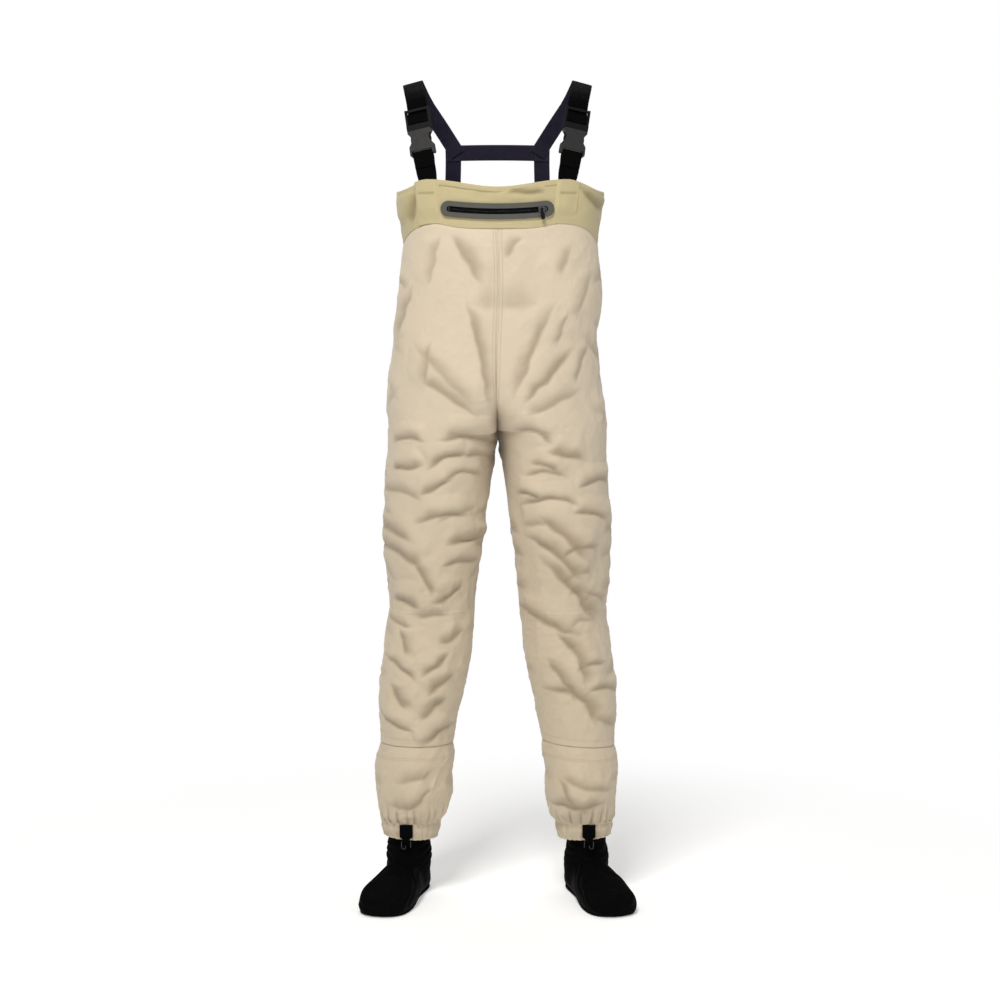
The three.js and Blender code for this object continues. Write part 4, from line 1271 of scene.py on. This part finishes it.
def build_straps(side, sign):
    mirror = sign < 0
    low = np.array([math.cos(ANCHOR_TILT), math.sin(ANCHOR_TILT), 0])

    def in_anchor(z):
        return np.array([STRAP_X, -102.0, 1316 + z]), low

    lower = [in_anchor(-2), in_anchor(12), in_anchor(30), in_anchor(42), strap_point(2.0, -78)]
    lower += [strap_point(1.0, -69), strap_point(TURN, -56), *turn(-44, 1, 1)]
    lower += [strap_point(-TURN, -54), strap_point(-1.6, -63), strap_point(-0.8, -71)]
    widths = [33, 33, 34, 37] + [38] * (len(lower) - 4)
    piece = ribbon("front_strap_" + side, lower, widths, 1.7, FRONT_WEBBING, mirror)
    keep(piece, "garment", side + "_lower_strap")

    line = shoulder_line()
    upper = [strap_point(TURN + 2.9, 63), strap_point(TURN + 2.7, 50), strap_point(TURN + 2.5, 30)]
    upper += [strap_point(TURN + 1.2, 22.5), *turn(17, -1, 1), strap_point(-TURN, 23)]
    upper += [strap_point(-TURN + 0.6, 28), strap_point(TURN - 0.4, 36), *line[:16]]
    widths = [38] * (len(upper) - 7) + [37.5, 36.5, 35, 33.5, 32, 31, 30.4]
    piece = ribbon("shoulder_strap_" + side, upper, widths, 1.7, FRONT_WEBBING, mirror)
    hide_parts(side + "_shoulder_strap")
    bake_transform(piece)

    yoke = []
    for k in range(9, 27):
        along = line[min(k + 1, 26)][0] - line[k - 1][0]
        inward = np.cross(along, line[k][1])
        yoke.append((line[k][0] + inward / np.linalg.norm(inward) * 2.0, line[k][1]))
    piece = ribbon("yoke_strap_" + side, yoke, 30, 1.6, BACK_WEBBING, mirror)
    keep(piece, "garment", side + "_yoke_strap")

    yaw = math.radians(14)
    lean = np.array([math.cos(yaw), -math.sin(yaw), 0])
    straight = np.array([1.0, 0, 0])
    back = [
        (np.array([CROSSING["x"], 110.4, 1285.0]), lean),
        (np.array([CROSSING["x"], 110.6, 1310.0]), lean),
        (np.array([CROSSING["x"], 110.8, 1335.0]), lean),
        (np.array([CROSSING["x"] - 0.4, 111.6, 1365.0]), lerp(lean, straight, 0.5)),
        (np.array([CROSSING["x"] - 1, LAYER["back"], 1395.0]), straight),
        (np.array([CROSSING["x"] - 1, LAYER["back"], 1431.0]), straight),
    ]
    piece = ribbon("back_strap_" + side, back, 30, 1.6, BACK_WEBBING, mirror, steps=6)
    keep(piece, "garment", side + "_back_strap")


def build_cross_strap():
    """The strap across the back, sewn to both back straps with a crossed box."""
    reach = CROSSING["x"] + 14
    material = webbing("cross_webbing", NAVY, rib=0.0016, roughness=0.7, box=(0.028, 2 * reach / 1000, 0.0125), edge=0.015)
    stations = []
    for x in np.linspace(-reach, reach, 15):
        sag = -1.6 * (1 - (x / reach) ** 2)
        swing = 1.4 * (1 - (x / reach) ** 2)
        stations.append((np.array([x, LAYER["cross"] - swing, CROSSING["z"] - sag]), np.array([0, 0, 1.0])))
    piece = ribbon("cross_strap_visual", stations, 30, 1.6, material, steps=5)
    keep(piece, "garment", "cross_strap")


# ---- hook tab -------------------------------------------------------------------------------

TAB = {"x": 174, "y": -51.9, "bar": 111, "width": 25, "tunnel": 15}


def build_tab(side, sign):
    across = np.array([1.0, 0, 0])
    x, y, bar = TAB["x"], TAB["y"], TAB["bar"]
    path = [(y - 0.3, 143), (y - 0.4, 136), (y - 0.5, 129), (y - 0.6, 122), (y - 0.9, 118), (y - 1.4, 115.3)]
    widths = [TAB["width"]] * 4 + [TAB["width"] - 2, TAB["tunnel"]]
    for angle in (180, 225, 270, 315, 360):
        a = math.radians(angle)
        path.append((y + 1.75 * math.cos(a), bar + 1.75 * math.sin(a)))
        widths.append(TAB["tunnel"])
    path += [(y + 1.6, 115.3), (y + 1.3, 118), (y + 1.0, 122)]
    widths += [TAB["tunnel"], TAB["width"] - 3, TAB["width"] - 1]
    stations = [(np.array([x, py, pz]), across) for py, pz in path]
    tab = ribbon("tab_" + side, stations, widths, 1.0, FRONT_WEBBING, sign < 0, steps=3)
    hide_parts(side + "_hook_tab")
    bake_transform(tab)


# ---- socks ----------------------------------------------------------------------------------

ANKLE = np.array([171, 5, 0])
TOE_OUT = math.radians(15)
# Along the foot from heel to toe: [distance from the ankle, half width, height]
FOOT = [
    [-68, 13, 34],
    [-60, 25, 54],
    [-38, 33, 66],
    [0, 36, 70],
    [38, 39, 72],
    [85, 46, 62],
    [135, 50, 52],
    [172, 46, 43],
    [192, 34, 34],
    [200, 18, 26],
]


def on_foot(points):
    c, s = math.cos(TOE_OUT), math.sin(TOE_OUT)
    x, y, z = points[..., 0], points[..., 1], points[..., 2]
    return np.stack([x * c - y * s + ANKLE[0], x * s + y * c + ANKLE[1], z], -1)


def foot_rows(steps):
    rows = rounded(FOOT, steps)
    rows[:, 1] = np.maximum(rows[:, 1], 8)
    return rows


def build_sole(side, sign):
    """The dense sole: a slab with a soft edge that follows the plan of the foot."""
    rows = foot_rows(8)
    outline = np.vstack([np.stack([rows[:, 1], -rows[:, 0]], -1), np.stack([-rows[::-1, 1], -rows[::-1, 0]], -1)])
    outline, so_far = resample(np.vstack([outline, outline[:1]]), 161)
    outline, centre = outline[:-1], np.array([0, -66.0])
    inward = centre - outline
    inward /= np.linalg.norm(inward, axis=1)[:, None]
    levels = [(60, 0.5), (6, 0.4), (2.5, 0.3), (0.9, 1.2), (0.5, 3), (1.2, 4.8), (3.5, 5.4)]
    rings = []
    for inset, z in levels:
        ring = outline + inward * np.minimum(inset + 4.6, 0.97 * np.linalg.norm(centre - outline, axis=1))[:, None]
        rings.append(np.column_stack([ring, np.full(len(ring), z)]))
    grid = np.array(rings)
    points = on_foot(grid).reshape(-1, 3)
    faces = grid_faces(*grid.shape[:2], closed=True)
    normals = vertex_normals(points, faces)
    if normals[2 * len(outline) :: 7, 2].mean() > 0.5:
        faces = faces[:, ::-1]
    sole = make("sole_" + side, points, faces, None, [SOLE], mirror=sign < 0)
    keep(sole, side + "_foot", side + "_sock_sole")


def build_sock(side, sign):
    """The foot and the ankle tube, melted into one skin."""
    rows = foot_rows(6)
    angle = np.radians(np.linspace(-90, 270, 60, endpoint=False))
    c, s = np.cos(angle), np.sin(angle)
    w, h = rows[:, 1][:, None], rows[:, 2][:, None]
    x = w * np.sign(c) * np.abs(c) ** 0.8
    rise = np.where(s > 0, np.abs(s) ** 0.85, -np.abs(s) ** 0.45)
    low, waist = 3.0, 0.30
    z = np.where(rise > 0, low + (h - low) * (waist + (1 - waist) * rise), low + (h - low) * waist * (1 + rise))
    y = np.broadcast_to(-rows[:, :1], x.shape)
    foot = np.stack([x, y, z], -1)
    caps = [foot.mean(1)[0] + (0, 5, 0), foot.mean(1)[-1] - (0, 5, 0)]
    foot = np.concatenate([np.broadcast_to(caps[0], (1, 60, 3)), foot, np.broadcast_to(caps[1], (1, 60, 3))])
    heights = np.linspace(20, 172, 24)
    radius = np.interp(heights, [20, 45, 72, 95, 120, 172], [40, 43, 42.5, 39, 37, 37])
    ring = np.linspace(0, 2 * math.pi, 60, endpoint=False)
    ankle = np.stack(
        [
            radius[:, None] * np.cos(ring),
            radius[:, None] * np.sin(ring) * 1.02,
            np.broadcast_to(heights[:, None], (24, 60)),
        ],
        -1,
    )
    ends = [ankle[:1] * (0, 0, 1), ankle[-1:] * (0, 0, 1)]
    ankle = np.concatenate([ends[0], ankle, ends[1]])
    parts = []
    for grid in (foot, ankle):
        points = on_foot(grid).reshape(-1, 3)
        faces = grid_faces(*grid.shape[:2], closed=True)
        a, b, e, d = (points[faces[:, k]] for k in range(4))
        if np.sum(np.cross(e - a, d - b) * ((a + e) / 2 - points.mean(0))) < 0:
            faces = faces[:, ::-1]
        parts.append((points, faces))
    points = np.vstack([parts[0][0], parts[1][0]])
    faces = np.vstack([parts[0][1], parts[1][1] + len(parts[0][0])])
    sock = make("sock_" + side, points, faces, None, [NEOPRENE], mirror=sign < 0)
    remesh = sock.modifiers.new("skin", "REMESH")
    remesh.mode = "VOXEL"
    remesh.voxel_size = 0.0028
    remesh.use_smooth_shade = True
    soften = sock.modifiers.new("soften", "SMOOTH")
    soften.factor = 0.5
    soften.iterations = 18
    bpy.context.view_layer.update()
    evaluated = sock.evaluated_get(bpy.context.evaluated_depsgraph_get())
    mesh = bpy.data.meshes.new_from_object(evaluated)
    sock.modifiers.clear()
    sock.data = mesh
    count = len(mesh.vertices)
    co, normals = np.zeros(count * 3), np.zeros(count * 3)
    mesh.vertices.foreach_get("co", co)
    mesh.vertices.foreach_get("normal", normals)
    co, normals = co.reshape(-1, 3) * 1000, normals.reshape(-1, 3)
    local = co * (sign, 1, 1) - (ANKLE[0], ANKLE[1] + CHEST_Y, 0)
    forward = local @ np.array([math.sin(TOE_OUT), -math.cos(TOE_OUT), 0])
    instep = np.exp(-(((local[:, 2] - 84 + 0.28 * forward) / 26) ** 2)) * smooth((forward + 55) / 60)
    ripple = np.sin((local[:, 2] + 0.45 * forward) / 15 * 2 * math.pi + 1.2 * waves(local, 60, 81 + sign))
    height = 1.5 * instep * ripple + 0.9 * waves(local, 70, 83 + sign) * smooth((local[:, 2] - 8) / 20)
    co += normals * height[:, None]
    co[:, 2] -= 3.2 * smooth((14 - co[:, 2]) / 8)
    co[:, 2] = np.maximum(co[:, 2], 1.3)
    mesh.vertices.foreach_set("co", (co / 1000).ravel())
    mesh.update()
    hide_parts(side + "_sock_ankle", side + "_sock_foot")
    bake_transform(sock)


# ---- tapes and hard parts -------------------------------------------------------------------


def build_tapes():
    for word, facing in (("front", -1), ("back", 1)):
        stations = []
        for z in (919, 930, 942, 960, 985, 1040, 1100, 1162, 1225):
            seam = half_ring(z, 200)[0][0 if facing < 0 else -1, 1]
            stations.append((np.array([0, seam - facing * 3.4, z]), np.array([1.0, 0, 0])))
        piece = ribbon(word + "_tape", stations, 20, 0.7, TAPE)
        keep(piece, "garment", word + "_seam_tape")


def finish_hard(node, material, width, segments=3):
    """Softens the edges of a CAD node and paints it."""
    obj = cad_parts[node]
    weld = obj.modifiers.new("weld", "WELD")
    weld.merge_threshold = 0.00002
    bevel = obj.modifiers.new("edges", "BEVEL")
    bevel.width = width / 1000
    bevel.segments = segments
    bevel.limit_method = "ANGLE"
    bevel.angle_limit = math.radians(32)
    bevel.use_clamp_overlap = True
    obj.modifiers.new("normals", "WEIGHTED_NORMAL").keep_sharp = False
    obj.data.polygons.foreach_set("use_smooth", np.ones(len(obj.data.polygons), bool))
    obj.data.materials.clear()
    obj.data.materials.append(material)


def build_hard(coil):
    finish_hard("zip_surround", FILM, 0.45)
    finish_hard("zip_slider", coil, 0.35)
    finish_hard("zip_puller", PLUG_PLASTIC, 0.4)
    for node in ("zip_closed_end_stop", "zip_open_end_stop"):
        finish_hard(node, coil, 0.3)
    wire = moulded("hook_wire", (0.012, 0.012, 0.013), 0.35)
    for side, _ in SIDES:
        finish_hard(side + "_buckle_socket", SOCKET_PLASTIC, 0.9)
        finish_hard(side + "_buckle_plug", PLUG_PLASTIC, 0.7)
        for word in ("outer", "inner"):
            finish_hard(f"{side}_buckle_{word}_arm", PLUG_PLASTIC, 0.5)
        finish_hard(side + "_lace_hook", wire, 0.15, 2)


# ---- stage ----------------------------------------------------------------------------------


def area_light(name, where, target, size, power, colour=(1, 1, 1)):
    data = bpy.data.lights.new(name, "AREA")
    data.shape = "RECTANGLE"
    data.size, data.size_y = size
    data.energy = power
    data.color = colour
    light = bpy.data.objects.new(name, data)
    bpy.context.scene.collection.objects.link(light)
    light.location = where
    light.rotation_euler = (Vector(target) - Vector(where)).to_track_quat("-Z", "Y").to_euler()


def build_stage():
    scene = bpy.context.scene
    scene.view_settings.view_transform = "Standard"
    world = bpy.data.worlds.new("studio")
    scene.world = world
    world.use_nodes = True
    nodes, links = world.node_tree.nodes, world.node_tree.links
    seen = nodes.new("ShaderNodeBackground")
    seen.inputs["Color"].default_value = (1, 1, 1, 1)
    seen.inputs["Strength"].default_value = 1.0
    ambient = nodes["Background"]
    ambient.inputs["Color"].default_value = (1, 0.99, 0.97, 1)
    ambient.inputs["Strength"].default_value = 0.22
    choose = nodes.new("ShaderNodeMixShader")
    links.new(nodes.new("ShaderNodeLightPath").outputs["Is Camera Ray"], choose.inputs[0])
    links.new(ambient.outputs[0], choose.inputs[1])
    links.new(seen.outputs[0], choose.inputs[2])
    links.new(choose.outputs[0], nodes["World Output"].inputs["Surface"])

    bpy.ops.mesh.primitive_plane_add(size=60, location=(0, 0, -0.0005))
    floor = bpy.context.object
    floor.name = "floor"
    paper = Paint("floor", roughness=0.9, specular=0.1)
    grain = paper.noise(0.3, 2, 0.5)
    paper.set("Base Color", paper.mix(grain, (0.86, 0.86, 0.86), (0.9, 0.9, 0.9)))
    paper.set("Emission Color", (1, 1, 1, 1))
    paper.set("Emission Strength", 0.3)
    glow = paper.nodes.new("ShaderNodeEmission")
    distance = paper.nodes.new("ShaderNodeVectorMath")
    distance.operation = "LENGTH"
    paper.links.new(paper.place(), distance.inputs[0])
    fade = paper.nodes.new("ShaderNodeMapRange")
    fade.interpolation_type = "SMOOTHSTEP"
    for key, value in (("Value", distance.outputs["Value"]), ("From Min", 0.35), ("From Max", 1.5)):
        paper.link(fade.inputs[key], value)
    blend = paper.nodes.new("ShaderNodeMixShader")
    paper.links.new(fade.outputs[0], blend.inputs[0])
    paper.links.new(paper.bsdf.outputs[0], blend.inputs[1])
    paper.links.new(glow.outputs[0], blend.inputs[2])
    paper.links.new(blend.outputs[0], paper.nodes["Material Output"].inputs["Surface"])
    floor.data.materials.append(paper.material)

    area_light("key", (-0.7, -2.6, 4.3), (0, 0, 0.75), (1.3, 1.3), 148, (1, 0.985, 0.96))
    area_light("fill", (2.4, -3.6, 1.5), (0, 0, 0.7), (2.4, 2.4), 16)
    area_light("rim", (0, 1.6, 3.6), (0, 0, 0.9), (2.5, 1.5), 30)

    camera = bpy.data.objects.new("camera", bpy.data.cameras.new("camera"))
    scene.collection.objects.link(camera)
    camera.location = (0.0047, -4.5 + CHEST_Y / 1000, 1.174)
    camera.rotation_euler = (math.radians(90 - 5.27), 0, 0)
    camera.data.lens = 85.6
    camera.data.sensor_width = 36
    scene.camera = camera


# ---- build ----------------------------------------------------------------------------------

build_shell()
for side_name, side_sign in SIDES:
    build_shin(side_name, side_sign)
    build_guard(side_name, side_sign)
    build_cuff(side_name, side_sign)
    build_sleeve(side_name, side_sign)
    build_anchor(side_name, side_sign)
    build_straps(side_name, side_sign)
    build_tab(side_name, side_sign)
    build_sole(side_name, side_sign)
    build_sock(side_name, side_sign)
build_band()
build_cross_strap()
build_tapes()
build_pocket()
build_hard(build_zip())
build_stage()
